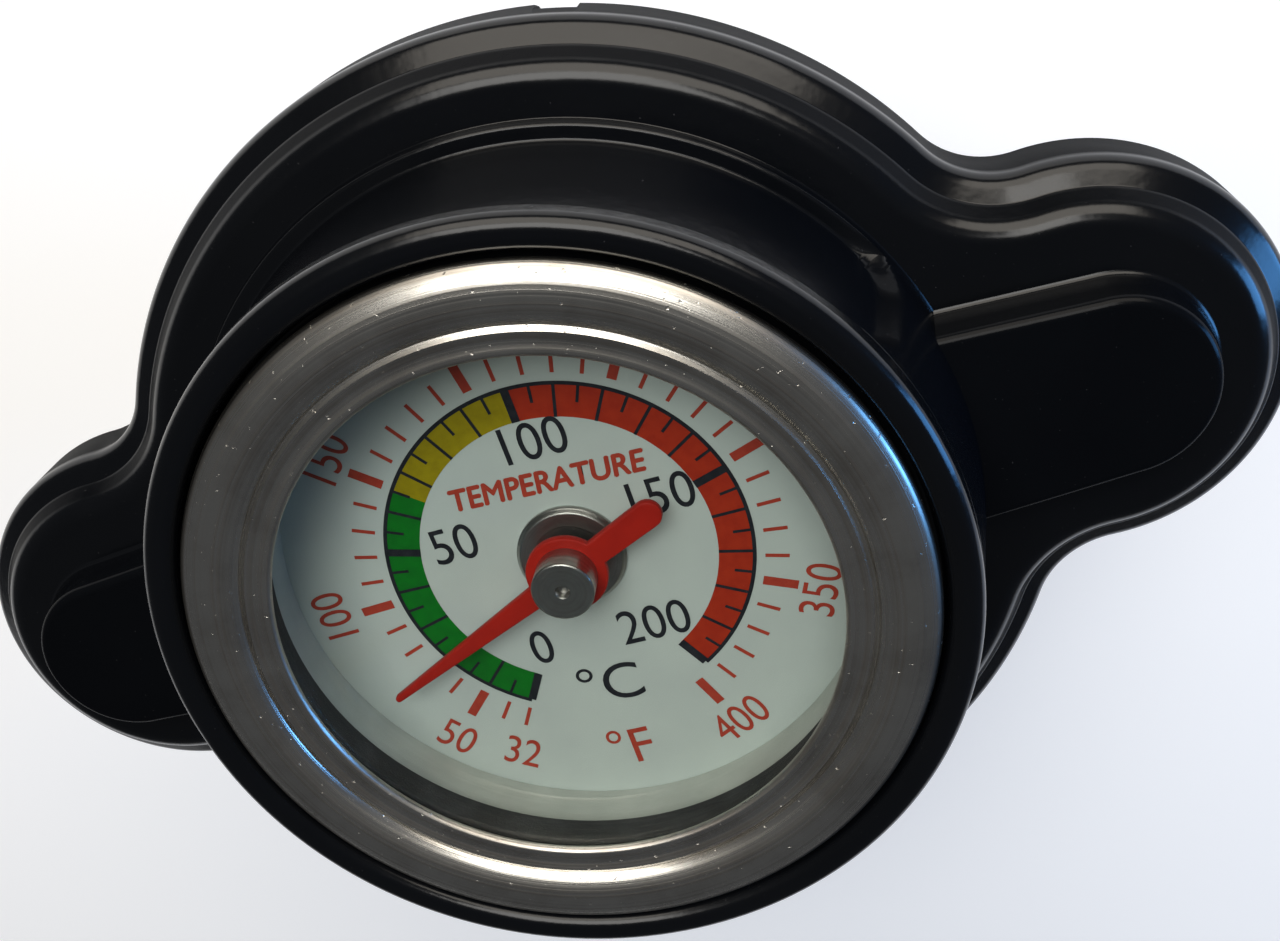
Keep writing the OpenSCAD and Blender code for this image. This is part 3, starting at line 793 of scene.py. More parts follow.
@dataclass
class CapCasting(Assembly):
    """The cast cap: skirt, ears, flange, boss, tongues and locking tabs."""

    skirt_r: float = 21.95
    ear_r: float = 9.05
    ear_x: float = reach("cap_body") - ear_r
    fillet_r: float = 4.0
    ear_steps: int = 88
    fillet_steps: int = 18
    skirt_steps: int = 110
    skirt_drop: float = 1.7
    foot_ease: float = 0.2
    bore_r: float = 19.6
    bore_ease: float = 0.15
    crown_z: float = 1.6
    flange_z: float = 3.3
    shoulder_z: float = 2.15
    boss_foot_r: float = 18.05
    boss_rim_r: float = 16.65
    rim_round: float = 0.6
    rim_z: float = high("cap_body")
    mouth_r: float = reach("bezel_ring") + 0.2
    mouth_z: float = 11.17
    well_r: float = reach("gauge_case") + 0.75
    well_z: float = low("gauge_gasket")
    hole_r: float = 3.7
    panel_start: float = 23.0
    panel_foot_r: float = 17.25
    panel_top_r: float = 16.15
    panel_foot_z: float = 3.75
    panel_top_z: float = rim_z - 1.3
    panel_corner_r: float = 2.2
    panel_ease_deg: float = 4.0
    tongue_half: float = 4.75
    tongue_end_half: float = 4.3
    tongue_end_x: float = 23.75
    tongue_z: float = 5.3
    tab_w: float = 10.3
    tab_face_r: float = 21.85
    tab_drop: float = 2.7
    tab_wall: float = 1.2
    tab_ease: float = 0.25
    lug_y: float = 17.2
    lug_t: float = 1.1
    notch_w: float = 1.8
    notch_z: float = -0.4
    pocket_r: float = 6.85
    pocket_wall_r: float = 21.5
    pocket_roof_z: float = 1.3

    def outline(self) -> list[tuple[Vector, Vector, float]]:
        """Draws the lower outline as arcs.

        Returns:
            For each point the arc's centre, the direction from it, and the radius, which is negative on a
            hollow arc.
        """
        d, e = self.skirt_r + self.fillet_r, self.ear_r + self.fillet_r
        fx = (d * d - e * e + self.ear_x**2) / (2 * self.ear_x)
        fy = math.sqrt(d * d - fx * fx)
        ear_half = math.atan2(fy, fx - self.ear_x)
        skirt_start = math.atan2(fy, fx)
        hollow_from, hollow_to = math.atan2(-fy, self.ear_x - fx), math.atan2(-fy, -fx)
        half_turn = (
            ((self.ear_x, 0.0), self.ear_r, -ear_half, ear_half, self.ear_steps),
            ((fx, fy), -self.fillet_r, hollow_from, hollow_to, self.fillet_steps),
            ((0.0, 0.0), self.skirt_r, skirt_start, math.pi - skirt_start, self.skirt_steps),
            ((-fx, fy), -self.fillet_r, math.pi - hollow_to, math.pi - hollow_from, self.fillet_steps),
        )
        points = []
        for side, turn in ((1, 0.0), (-1, math.pi)):
            for centre, radius, start, end, count in half_turn:
                for a in spread(turn + start, turn + end, count)[:-1]:
                    points.append((Vector(centre) * side, Vector((math.cos(a), math.sin(a))), radius))
        return points

    def plate(self) -> Thing:
        """Makes skirt, ears and flange as one shell, hollow below.

        Returns:
            The shell.
        """
        arcs = self.outline()
        foot, top, ease, bevel = -self.skirt_drop, self.flange_z, self.bore_ease, 0.1
        section = eased(
            [
                (0.0, foot),
                (0.12, self.shoulder_z - 0.55, 1.85),
                (1.15, self.shoulder_z, 0.14),
                (1.95, top, 1.3),
                (4.4, top),
            ],
            closed=False,
            steps=12,
        )
        edge = [(self.foot_ease, foot), (0.06, foot + 0.06), (0.02, foot + self.foot_ease)]

        def circle(r: float, z: float) -> Row:
            """A round row with one point for each point of the outline."""
            spots = ((centre + way * abs(radius)).normalized() * r for centre, way, radius in arcs)
            return [(spot.x, spot.y, z) for spot in spots]

        def inset(depth: float, z: float) -> Row:
            """The outline moved inwards."""
            spots = (centre + way * (abs(radius) - math.copysign(depth, radius)) for centre, way, radius in arcs)
            return [(spot.x, spot.y, z) for spot in spots]

        rows = [circle(self.hole_r, self.crown_z), circle(self.bore_r - bevel, self.crown_z)]
        rows += [circle(self.bore_r, self.crown_z - bevel), circle(self.bore_r, foot + ease)]
        rows.append(circle(self.bore_r + ease, foot))
        rows += [inset(depth, z) for depth, z in edge + section[1:-1]]
        rows += [circle(self.boss_rim_r - 1, top), circle(self.hole_r, top)]
        return loft("cap_plate", rows, tube=True)

    def boss_section(self, panel: bool) -> list[Point2]:
        """Draws the boss's section from the flange over the rim into the well.

        Args:
            panel: Whether the section runs through a side panel.

        Returns:
            The section, with as many points either way.
        """
        run = self.rim_z - self.rim_round - self.flange_z

        def wall(z: float) -> float:
            """Radius of the plain wall at a height."""
            return self.boss_foot_r + (self.boss_rim_r - self.boss_foot_r) * (z - self.flange_z) / run

        foot, head, start_z = self.panel_foot_z, self.panel_top_z, self.flange_z - 0.05
        foot_r = self.panel_foot_r if panel else wall(foot)
        head_r = self.panel_top_r if panel else wall(head)
        ledge_r = wall(foot) - 0.02 if panel else wall(foot - 0.01)
        slope = (head_r - foot_r) / (head - foot)
        climb = spread(0.3, self.panel_corner_r, 6)
        rim_ease = self.rim_round - 0.01
        corners = [
            (wall(self.flange_z) + 1.2, start_z),
            (wall(self.flange_z), start_z, 0.35),
            (ledge_r, foot - 0.01, 0.16),
            (foot_r, foot, 0.22),
            *((foot_r + slope * up, foot + up) for up in climb),
            *((head_r - slope * up, head - up) for up in reversed(climb)),
            (head_r, head, 0.16),
            (wall(head) - 0.01, head + 0.02, 0.14),
            (self.boss_rim_r, self.rim_z, rim_ease),
            (self.mouth_r, self.rim_z, rim_ease),
            (self.mouth_r, self.mouth_z, 0.1),
            (self.well_r, self.mouth_z, 0.1),
            (self.well_r, self.well_z),
        ]
        return eased(corners, closed=False, steps=6)

    def boss(self) -> Thing:
        """Makes the boss with its two side panels, its rounded rim and its well.

        Returns:
            The boss.
        """
        ease, start, corner = self.panel_ease_deg, self.panel_start, self.panel_corner_r
        marks = {2.0 * k for k in range(180)}
        for base in (0.0, 180.0):
            for edge, way in ((start, 1), (180 - start, -1)):
                marks.update(base + edge + way * ease * (k / 12 - 0.5) for k in range(34))

        def share(angle: float, z: float) -> float:
            """Finds how far the wall is sunk at a place.

            Args:
                angle: The place's angle, in degrees.
                z: Its height.

            Returns:
                A share from 0 to 1.
            """
            rise = min(max(min(z - self.panel_foot_z, self.panel_top_z - z), 0.0), corner)
            inset = corner - math.sqrt(corner**2 - (corner - rise) ** 2)
            off = abs((angle % 180) - 90) + math.degrees(inset / self.panel_foot_r)
            t = min(1.0, max(0.0, ((90 - start) + ease / 2 - off) / ease))
            return t * t * (3 - 2 * t)

        rows: list[Row] = []
        angles = sorted(marks)
        for (r0, z0), (r1, z1) in zip(self.boss_section(False), self.boss_section(True)):
            row = []
            for angle in angles:
                w = share(angle, z1)
                row.append(polar(r0 + (r1 - r0) * w, math.radians(angle), z0 + (z1 - z0) * w))
            rows.append(row)
        rows.append([polar(self.hole_r, math.radians(angle), self.well_z) for angle in angles])
        return loft("cap_boss", rows)

    def tongue(self, side: int) -> Thing:
        """Makes the raised tongue on one ear, from the boss to its round end.

        Args:
            side: 1 on the right, -1 on the left.

        Returns:
            The tongue, open below.
        """
        start = self.boss_rim_r - 1.5
        corners = [
            (0.55, self.flange_z - 0.03), (0.0, self.flange_z, 0.3), (-0.35, self.tongue_z, 0.42), (-1.2, self.tongue_z)
        ]
        rows: list[Row] = []
        for grow, z in eased(corners, closed=False, steps=6):
            w, end_w = self.tongue_half + grow, self.tongue_end_half + grow
            shape = [(start, -w), (start + 1, -w)]
            shape += arc(spread(-QUARTER, QUARTER, 40), end_w, self.tongue_end_x)
            shape += [(start + 1, w), (start, w)]
            rows.append([(side * x, side * y, z) for x, y in shape])
        return loft("cap_tongue", rows, closed=False, caps=(-1,))

    def tab(self, side: int) -> Thing:
        """Makes one locking tab with its lug, as a bar of an L section with a round outer face.

        Args:
            side: 1 at the back, -1 in front.

        Returns:
            The tab.
        """
        in_y, wall_y = self.bore_r - 0.6, self.bore_r - 0.6 + self.tab_wall
        half, ease, bevel, root_z = self.tab_w / 2, self.tab_ease, 0.08, self.tab_ease - self.skirt_drop
        lug_z = self.lug_t - self.tab_drop
        middle = Vector((in_y + 1.0, -1.8))
        stations = [(-half, ease), (-half + bevel, bevel)]
        stations += [(x, 0.0) for x in spread(-half + ease, half - ease, 16)]
        stations += [(half - bevel, bevel), (half, ease)]
        rows: list[Row] = []
        for x, shrink in stations:
            face_y = math.sqrt(self.tab_face_r**2 - x * x)
            corners = [
                (face_y, -self.tab_drop, 0.3), (face_y, root_z), (wall_y, root_z), (wall_y, self.tab_wall),
                (in_y, self.tab_wall), (in_y, lug_z, 0.35), (self.lug_y, lug_z, 0.2),
                (self.lug_y, -self.tab_drop, 0.25),
            ]
            row = []
            for y, z in eased(corners, steps=4):
                pull = middle - Vector((y, z))
                pull = pull.normalized() * min(shrink, pull.length)
                row.append((side * x, side * (y + pull.x), z + pull.y))
            rows.append(row)
        return loft("cap_tab", rows, caps=ENDS)

    def cutters(self) -> list[Thing]:
        """Makes what is cut away: the hollows under the ears, and the notches beside the tabs.

        Returns:
            The cutters.
        """
        under, near_y, far_y = -self.skirt_drop - 1, 10, 40
        wall_r, centre = self.pocket_wall_r, self.ear_x
        half = math.acos((wall_r**2 + centre**2 - self.pocket_r**2) / (2 * wall_r * centre))
        wall = arc(spread(half, -half, 24), wall_r)
        end = math.atan2(wall[0][1], wall[0][0] - centre)
        bow = arc(spread(-end, end, 48)[1:-1], self.pocket_r, centre)
        shapes = [("ear_pocket", wall + bow, self.pocket_roof_z)]
        for sign in (-1, 1):
            x0, x1 = sorted((sign * self.tab_w / 2, sign * (self.tab_w / 2 + self.notch_w)))
            shapes.append(("cut_block", [(x0, near_y), (x1, near_y), (x1, far_y), (x0, far_y)], self.notch_z))
        made = []
        for side in (1, -1):
            for name, shape, roof in shapes:
                rows = [[(side * x, side * y, z) for x, y in shape] for z in (under, roof)]
                made.append(loft(name, rows, caps=ENDS))
        return made

    def build(self) -> None:
        """Makes and dresses the casting."""
        parts = [cut_away(self.plate(), self.cutters()), self.boss()]
        for side in (1, -1):
            parts += [self.tongue(side), self.tab(side)]
        self.dress(joined("cap_casting", parts), "enamel", Body.CAP, Slot.BLACK_ENAMEL, "cap_body")


@dataclass
class Bezel(Assembly):
    """The bright ring crimped over the gauge: a broad bead, a groove, a hollow band and a lip."""

    bead_half: float = 1.25
    bead_rise: float = 0.65
    bead_x: float = reach("bezel_ring") - bead_half
    bead_z: float = high("bezel_ring") - bead_rise
    bead_from: float = math.radians(-64)
    bead_to: float = math.radians(164)
    case_r: float = reach("gauge_case")
    skirt_r: float = case_r + 0.45
    skirt_z: float = low("bezel_ring")
    seat_z: float = high("lens")
    mouth_r: float = 11.4
    lip_r: float = 0.23
    band_rise: float = 0.42
    band_dip: float = 0.06

    def section(self) -> list[Point2]:
        """Draws the ring's section, from the skirt's foot over the bead to the lip and back under.

        Returns:
            The section.
        """
        points: list[Point2] = [(self.case_r, self.skirt_z), (self.skirt_r, self.skirt_z)]
        for a in spread(self.bead_from, self.bead_to, 36):
            points.append((self.bead_x + self.bead_half * math.cos(a), self.bead_z + self.bead_rise * math.sin(a)))
        lip_x, lip_z = self.mouth_r + self.lip_r, self.seat_z + self.lip_r
        groove_x, groove_z = points[-1][0], self.seat_z + self.band_rise
        crest_x, crest_z = groove_x - 0.22, groove_z + 0.1
        points += [(groove_x - 0.07, groove_z), (crest_x, crest_z)]
        for t in spread(0.0, 1.0, 9)[1:-1]:
            sag = self.band_dip * math.sin(math.pi * t)
            points.append((crest_x + (lip_x - crest_x) * t, crest_z + (lip_z + self.lip_r - crest_z) * t - sag))
        points += arc(spread(QUARTER, 3 * QUARTER, 8), self.lip_r, lip_x, lip_z)
        points.append((self.case_r, self.seat_z))
        return points

    def build(self) -> None:
        """Makes and dresses the ring."""
        made = revolve("bezel", self.section(), sides=220)
        self.dress(made, "bezel_steel", Body.CAP, Slot.STAINLESS, "bezel_ring")


class TickTree(Graph):
    """A Geometry Nodes tree that sets equal ticks along an arc."""

    INPUTS = {
        "Count": "Int", "First Angle": "Float", "Step Angle": "Float", "Inner Radius": "Float", "Length": "Float",
        "Width": "Float", "Height": "Float", "Ink": "Material",
    }

    def __init__(self) -> None:
        """Builds the tree."""
        super().__init__(bpy.data.node_groups.new("ticks_on_arc", "GeometryNodeTree"))
        face = self.tree.interface
        face.new_socket("Geometry", in_out="OUTPUT", socket_type="NodeSocketGeometry")
        self.keys = {
            name: face.new_socket(name, in_out="INPUT", socket_type="NodeSocket" + kind).identifier
            for name, kind in self.INPUTS.items()
        }
        source, out = (self.tree.nodes.new(kind) for kind in ("NodeGroupInput", "NodeGroupOutput"))
        given = {name: Sock(self, source.outputs[name]) for name in self.INPUTS}
        angle = self.node("GeometryNodeInputIndex") * given["Step Angle"] + given["First Angle"]
        middle = given["Length"] * 0.5 + given["Inner Radius"]
        x, y = (self.node("ShaderNodeMath", {0: angle}, operation=way) * middle for way in ("COSINE", "SINE"))
        place = self.node("ShaderNodeCombineXYZ", {"X": x, "Y": y, "Z": given["Height"]})
        facing = self.node("ShaderNodeCombineXYZ", {"Z": angle})
        spots = self.node("GeometryNodePoints", {"Count": given["Count"], "Position": place})
        size = {"Size X": given["Length"], "Size Y": given["Width"], "Vertices X": 2, "Vertices Y": 2}
        tick = self.node("GeometryNodeMeshGrid", size)
        many = self.node("GeometryNodeInstanceOnPoints", {"Points": spots, "Instance": tick, "Rotation": facing})
        real = self.node("GeometryNodeRealizeInstances", {"Geometry": many})
        inked = self.node("GeometryNodeSetMaterial", {"Geometry": real, "Material": given["Ink"]})
        self.tree.links.new(inked.socket, out.inputs["Geometry"])

    def ticks(self, name: str, **wants: object) -> Thing:
        """Makes one set of ticks as a plain mesh.

        Args:
            name: The object's name.
            **wants: The tree's inputs by name, with underscores for spaces.

        Returns:
            The object.
        """
        thing = new_object(name, bpy.data.meshes.new(name))
        step = thing.modifiers.new("ticks", "NODES")
        step.node_group = self.tree
        for key, value in wants.items():
            step[self.keys[key.replace("_", " ")]] = value
        return settled(thing)


@dataclass
class DialFace(Assembly):
    """The white dial with its colour band, two scales, numerals and signs."""

    radius: float = reach("dial_plate")
    hole_r: float = 1.55
    face_z: float = high("dial_plate")
    thick: float = 0.5
    print_x: float = -0.17
    print_y: float = 0.07
    print_turn: float = math.radians(-1.2)
    print_scale: float = 1.014
    sweep: float = math.radians(297.4)
    top_reading: float = 200.0
    band_in: float = 6.43
    band_out: float = 7.87
    line_w: float = 0.15
    short_share: float = 0.52
    red_in: float = 8.38
    red_thin: float = 1.02
    red_thick: float = 1.5
    facet: float = math.radians(1.5)
    ink_gap: float = 0.012
    copy_lift: float = 0.0008
    word_layer: int = 2
    type_steps: int = 6
    first_f: float = 32.0
    first_tick_f: float = 40.0
    flip_y: float = -1.0
    zones: tuple[tuple[float, float, str], ...] = (
        (0, 65, "band_green"), (65, 100, "band_yellow"), (100, 200, "band_orange")
    )
    celsius: tuple[tuple[str, float, float], ...] = (
        ("0", -2.72, -4.3), ("50", -4.64, 1.65), ("100", 0.22, 5.37), ("150", 4.53, 1.57), ("200", 2.51, -4.31)
    )
    fahrenheit: tuple[tuple[str, float, float], ...] = (
        ("32", -5.57, -9.47), ("50", -8.25, -7.9), ("100", -11.12, -0.38), ("150", -8.4, 6.91),
        ("350", 9.93, -4.56), ("400", 4.73, -10.16)
    )

    def angle(self, reading: float) -> float:
        """The angle of a Celsius reading, in radians."""
        return QUARTER + (0.5 - reading / self.top_reading) * self.sweep

    def ink_z(self, layer: int) -> float:
        """Height of a layer of ink, clear of the one below it."""
        return self.face_z + self.ink_gap * layer

    def stamp(self, thing: Thing, ink: str) -> None:
        """Moves a printed piece to the print's centre and turn, and dresses it.

        Args:
            thing: The piece.
            ink: Its finish.
        """
        place = Matrix.Translation((self.print_x * MM, self.print_y * MM, 0))
        scale = Matrix.Diagonal((self.print_scale, self.print_scale, 1.0, 1.0))
        thing.data.transform(place @ Matrix.Rotation(self.print_turn, 4, "Z") @ scale)
        self.dress(thing, ink, Body.CAP, Slot.DIAL_WHITE)

    def strip(self, name: str, span: Point2, r_in: float, r_out: float, layer: int) -> Thing:
        """Makes a flat piece of ring between two readings.

        Args:
            name: The object's name.
            span: The two readings.
            r_in: Its inner radius.
            r_out: Its outer radius.
            layer: The layer of ink.

        Returns:
            The strip.
        """
        start, end = (self.angle(reading) for reading in span)
        angles = spread(start, end, max(4, round(abs(end - start) / self.facet)))
        rows = [[polar(r, a, self.ink_z(layer)) for r in (r_in, r_out)] for a in angles]
        return loft(name, rows, closed=False)

    def words(
        self, name: str, text: str, ink: str, size: float, at: Point2, stretch: float, turn: float = 0.0,
        weight: float = 0.0, slant: float = 0.0,
    ) -> None:
        """Prints figures or signs as a flat mesh.

        Args:
            name: The piece's name.
            text: What is printed.
            ink: Its finish.
            size: Height of the type.
            at: Its centre, to the right of the dial's centre and above it.
            stretch: Width of the type as a share of its usual width.
            turn: Turn of the line, in radians.
            weight: Added thickness of the strokes.
            slant: Lean of the type.
        """
        curve = bpy.data.curves.new(name, "FONT")
        curve.body, curve.size, curve.shear = text, size, slant
        curve.align_x = curve.align_y = "CENTER"
        curve.resolution_u = self.type_steps
        source = new_object(name + "_source", curve)
        graph = bpy.context.evaluated_depsgraph_get()
        mesh = bpy.data.meshes.new_from_object(source.evaluated_get(graph))
        bpy.data.objects.remove(source)
        bpy.data.curves.remove(curve)
        mesh.transform(Matrix.Rotation(turn, 4, "Z") @ Matrix.Diagonal((stretch * MM, MM, MM, 1.0)))
        shifts = [(0.0, 0.0)]
        if weight:
            shifts += [(weight, 0.0), (-weight, 0.0), (0.0, weight), (0.0, -weight)]
        prints = []
        for lift, (across, up) in enumerate(shifts):
            copy = mesh.copy()
            spot = (at[0] + across, at[1] + up, self.ink_z(self.word_layer) + self.copy_lift * lift)
            copy.transform(Matrix.Translation(Vector(spot) * MM))
            prints.append(new_object(name, copy))
        bpy.data.meshes.remove(mesh)
        self.stamp(joined(name, prints) if weight else prints[0], ink)

    def print_band(self) -> None:
        """Prints the colour band with its black line, and the ticks of both scales."""
        for start, end, ink in self.zones:
            self.stamp(self.strip(ink, (start, end), self.band_in, self.band_out, 1), ink)
        whole_scale = (0, self.top_reading)
        line = self.strip("band_line", whole_scale, self.band_out - 0.02, self.band_out + self.line_w, 2)
        self.stamp(line, "ink_black")
        per_c = self.sweep / self.top_reading
        per_f = per_c * 5 / 9
        zero = self.angle(0)
        first = zero - per_f * (self.first_tick_f - self.first_f)
        whole = self.band_out - self.band_in
        short = self.short_share * whole
        sets = (
            ("ticks_5", 20, self.angle(5), 10 * per_c, self.band_out - short, short, 0.13, 3, "ink_black"),
            ("ticks_10", 21, zero, 10 * per_c, self.band_in, whole, 0.14, 3, "ink_black"),
            ("ticks_50", 5, zero, 50 * per_c, self.band_in, whole, 0.36, 4, "ink_black"),
            ("red_ticks_10", 37, first, 10 * per_f, self.red_in, self.red_thin, 0.17, 1, "ink_red"),
            ("red_ticks_50", 8, first - 10 * per_f, 50 * per_f, self.red_in, self.red_thick, 0.42, 2, "ink_red"),
            ("red_tick_first", 1, zero, 10 * per_f, self.red_in, self.red_thin, 0.17, 1, "ink_red"),
        )
        tree = TickTree()
        for name, count, start, step, inner, length, width, layer, ink in sets:
            made = tree.ticks(
                name, Count=count, First_Angle=start, Step_Angle=-step, Inner_Radius=inner * MM, Length=length * MM,
                Width=width * MM, Height=self.ink_z(layer) * MM, Ink=self.finishes[ink],
            )
            self.stamp(made, ink)

    def print_words(self) -> None:
        """Prints the numerals of both scales, their signs, and the dial's word."""
        for text, x, y in self.celsius:
            self.words("celsius_" + text, text, "ink_black", 2.45, (x, y), 0.9)
        for text, x, y in self.fahrenheit:
            turn = math.atan2(y, x) + (QUARTER if y < self.flip_y else -QUARTER)
            self.words("fahrenheit_" + text, text, "ink_red", 2.2, (x, y), 0.82, turn)
        self.words("celsius_sign", "°C", "ink_black", 2.7, (-0.38, -6.92), 1.05)
        self.words("fahrenheit_sign", "°F", "ink_red", 2.7, (-0.59, -10.46), 0.95)
        lean = math.radians(-1.9)
        self.words("dial_word", "TEMPERATURE", "ink_red", 1.42, (0.2, 3.5), 0.92, lean, weight=0.04, slant=0.12)

    def build(self) -> None:
        """Makes and dresses the dial."""
        sheet = ring(self.hole_r, self.radius, self.face_z - self.thick, self.face_z, (0, 0.08, 0.12, 0))
        self.turn("dial_sheet", sheet, "dial_white", Body.CAP, Slot.DIAL_WHITE, "dial_plate")
        self.print_band()
        self.print_words()


@dataclass
class PointerSet(Assembly):
    """The red pointer with its hub, and the polished bush under it."""

    reading: float = math.radians(202.41)
    length: float = 10.5
    tail: float = 5.15
    ring_r: float = 1.77
    root_half: float = 0.58
    tip_r: float = 0.16
    tail_root_half: float = 0.55
    tail_end_r: float = 0.63
    low_z: float = low("pointer")
    thick: float = 0.4
    blade_ease: float = 0.09
    hub_r: float = 1.33
    hub_z: float = low("pointer_hub")
    hub_top: float = high("pointer_hub")
    dimple_r: float = 0.25
    dimple_depth: float = 0.35
    bush_r: float = 2.4
    bush_neck_r: float = 1.5
    bush_z: float = high("dial_plate")
    bush_top: float = high("dial_bush")
    shaft_r: float = 0.56
    sides: int = 96

    def blade_half(self, x: float) -> float:
        """Half width of the blade at a distance from the axis."""
        return self.root_half + (self.tip_r - self.root_half) * x / (self.length - self.tip_r)

    def outline(self) -> list[Point2]:
        """Draws the pointer's outline, with the blade along +X.

        Returns:
            The outline.
        """
        far = self.length - self.tip_r
        back = self.tail - self.tail_end_r
        blade_x = math.sqrt(self.ring_r**2 - self.blade_half(self.ring_r) ** 2)
        tail_half = self.tail_root_half + (self.tail_end_r - self.tail_root_half) * self.ring_r / back
        tail_x = math.sqrt(self.ring_r**2 - tail_half**2)
        first = math.atan2(self.blade_half(blade_x), blade_x)
        last = math.pi - math.atan2(tail_half, tail_x)
        upper = arc(spread(0.0, QUARTER, 8), self.tip_r, far)
        upper += [(x, self.blade_half(x)) for x in spread(far, blade_x, 6)[1:-1]]
        upper += arc(spread(first, last, 32), self.ring_r)
        upper += arc(spread(QUARTER, math.pi, 12), self.tail_end_r, -back)
        return upper + [(x, -y) for x, y in reversed(upper[1:-1])]

    def blade(self) -> Thing:
        """Makes the pointer with softened upper and lower edges.

        Returns:
            The pointer.
        """
        shape = [Vector(point) for point in self.outline()]
        spin = Matrix.Rotation(self.reading, 2)
        ease, bevel = self.blade_ease, self.blade_ease * 0.3
        levels = [(ease * 1.6, 0.0), (ease, 0.0), (bevel, bevel), (0.0, ease)]
        levels += [(inset, self.thick - up) for inset, up in reversed(levels)]
        rows: list[Row] = []
        for inset, up in levels:
            row = []
            for i, here in enumerate(shape):
                way = (shape[(i + 1) % len(shape)] - shape[i - 1]).normalized()
                spot = spin @ (here - Vector((way.y, -way.x)) * inset)
                row.append((spot.x, spot.y, self.low_z + up))
            rows.append(row)
        return loft("pointer_blade", rows, caps=ENDS)

    def build(self) -> None:
        """Makes and dresses the pointer, the hub with its small centre hole, and the bush."""
        self.dress(self.blade(), "pointer_red", Body.POINTER, Slot.POINTER_RED, "pointer")
        dimple_z = self.hub_top - self.dimple_depth
        hub = [
            (0.0, self.hub_z), (self.hub_r - 0.1, self.hub_z, 0.06), (self.hub_r, self.hub_z + 0.12, 0.05),
            (self.hub_r, self.hub_top, 0.1), (self.dimple_r + 0.06, self.hub_top, 0.05),
            (self.dimple_r, self.hub_top - 0.1, 0.04), (self.dimple_r, dimple_z, 0.05), (0.0, dimple_z),
        ]
        hub_place = ("turned_steel", Body.POINTER, Slot.STEEL_PLAIN, "pointer_hub")
        self.turn("hub_turned", hub, *hub_place, closed=False, sides=self.sides)
        neck_z = self.bush_z - 0.4
        bush = [
            (self.shaft_r, neck_z), (self.bush_neck_r, neck_z), (self.bush_neck_r, self.bush_z),
            (self.bush_r, self.bush_z, 0.05), (self.bush_r, self.bush_z + 0.2, 0.1),
            (self.bush_r - 0.2, self.bush_top, 0.12), (self.shaft_r + 0.2, self.bush_top, 0.05),
            (self.shaft_r, self.bush_top - 0.2),
        ]
        self.turn("bush_turned", bush, "turned_steel", Body.CAP, Slot.STAINLESS, "dial_bush", sides=self.sides)


@dataclass
class LensStack(Assembly):
    """The light ring between dial and lens, the dark seal, and the lens."""

    case_r: float = reach("spacer_ring")
    dial_z: float = low("spacer_ring")
    spacer_top: float = high("spacer_ring")
    spacer_t: float = 0.4
    seal_w: float = 0.8
    seal_hem: float = 0.45
    seal_top: float = high("lens_gasket")
    lens_r: float = reach("lens")
    lens_top: float = high("lens")
    lens_ease: float = 0.12

    def build(self) -> None:
        """Makes and dresses the three pieces."""
        spacer_in, seal_in = self.case_r - self.spacer_t, self.case_r - self.seal_w
        spacer = ring(spacer_in, self.case_r, self.dial_z, self.spacer_top, (0.05, 0, 0, 0.12))
        self.turn("spacer_moulded", spacer, "spacer_grey", Body.CAP, Slot.SPACER_GREY, "spacer_ring")
        hem_r, hem_z = spacer_in - 0.02, self.spacer_top - self.seal_hem
        seal = [
            (seal_in, hem_z, 0.15), (hem_r, hem_z, 0.1), (hem_r, self.spacer_top), (self.case_r, self.spacer_top),
            (self.case_r, self.seal_top), (seal_in, self.seal_top, 0.2),
        ]
        self.turn("lens_seal", seal, "rubber", Body.CAP, Slot.RUBBER, "lens_gasket")
        eases = (0, self.lens_ease, self.lens_ease, 0)
        lens = ring(0.0, self.lens_r, self.seal_top, self.lens_top, eases)
        self.turn("lens_pane", lens, "lens", Body.CAP, Slot.LENS_CLEAR, "lens", closed=False)


@dataclass(frozen=True)
class Coil:
    """A wound spring with closed end turns, or a bimetal strip."""

    name: str
    radius: float
    foot: float
    head: float
    turns: float
    wire: float
    flat: float = 1.0
    end_turn: float = 0.6
    per_turn: int = 40
    sides: int = 12

    def path(self) -> list[Vector]:
        """Draws the middle line, flat at both ends and evenly pitched between them.

        Returns:
            The line's points.
        """
        total = self.turns + 2 * self.end_turn
        rise = self.head - self.foot - self.wire
        points = []
        for turn in spread(0.0, total, math.ceil(total * self.per_turn)):
            t = min(1.0, max(0.0, (turn - self.end_turn) / self.turns))
            points.append(Vector(polar(self.radius, math.tau * turn, self.foot + self.wire / 2 + rise * t)))
        return points

    def wound(self) -> Thing:
        """Makes the winding.

        Returns:
            The winding.
        """
        path = self.path()
        rows: list[Row] = []
        for i, spot in enumerate(path):
            way = (path[min(i + 1, len(path) - 1)] - path[max(i - 1, 0)]).normalized()
            out = Vector((spot.x, spot.y, 0)).normalized()
            up = out.cross(way).normalized()
            round_wire = arc(spread(0.0, math.tau, self.sides)[:-1], self.wire / 2)
            rows.append([tuple(spot + across * self.flat * out + above * up) for across, above in round_wire])
        return loft(self.name, rows, caps=ENDS)


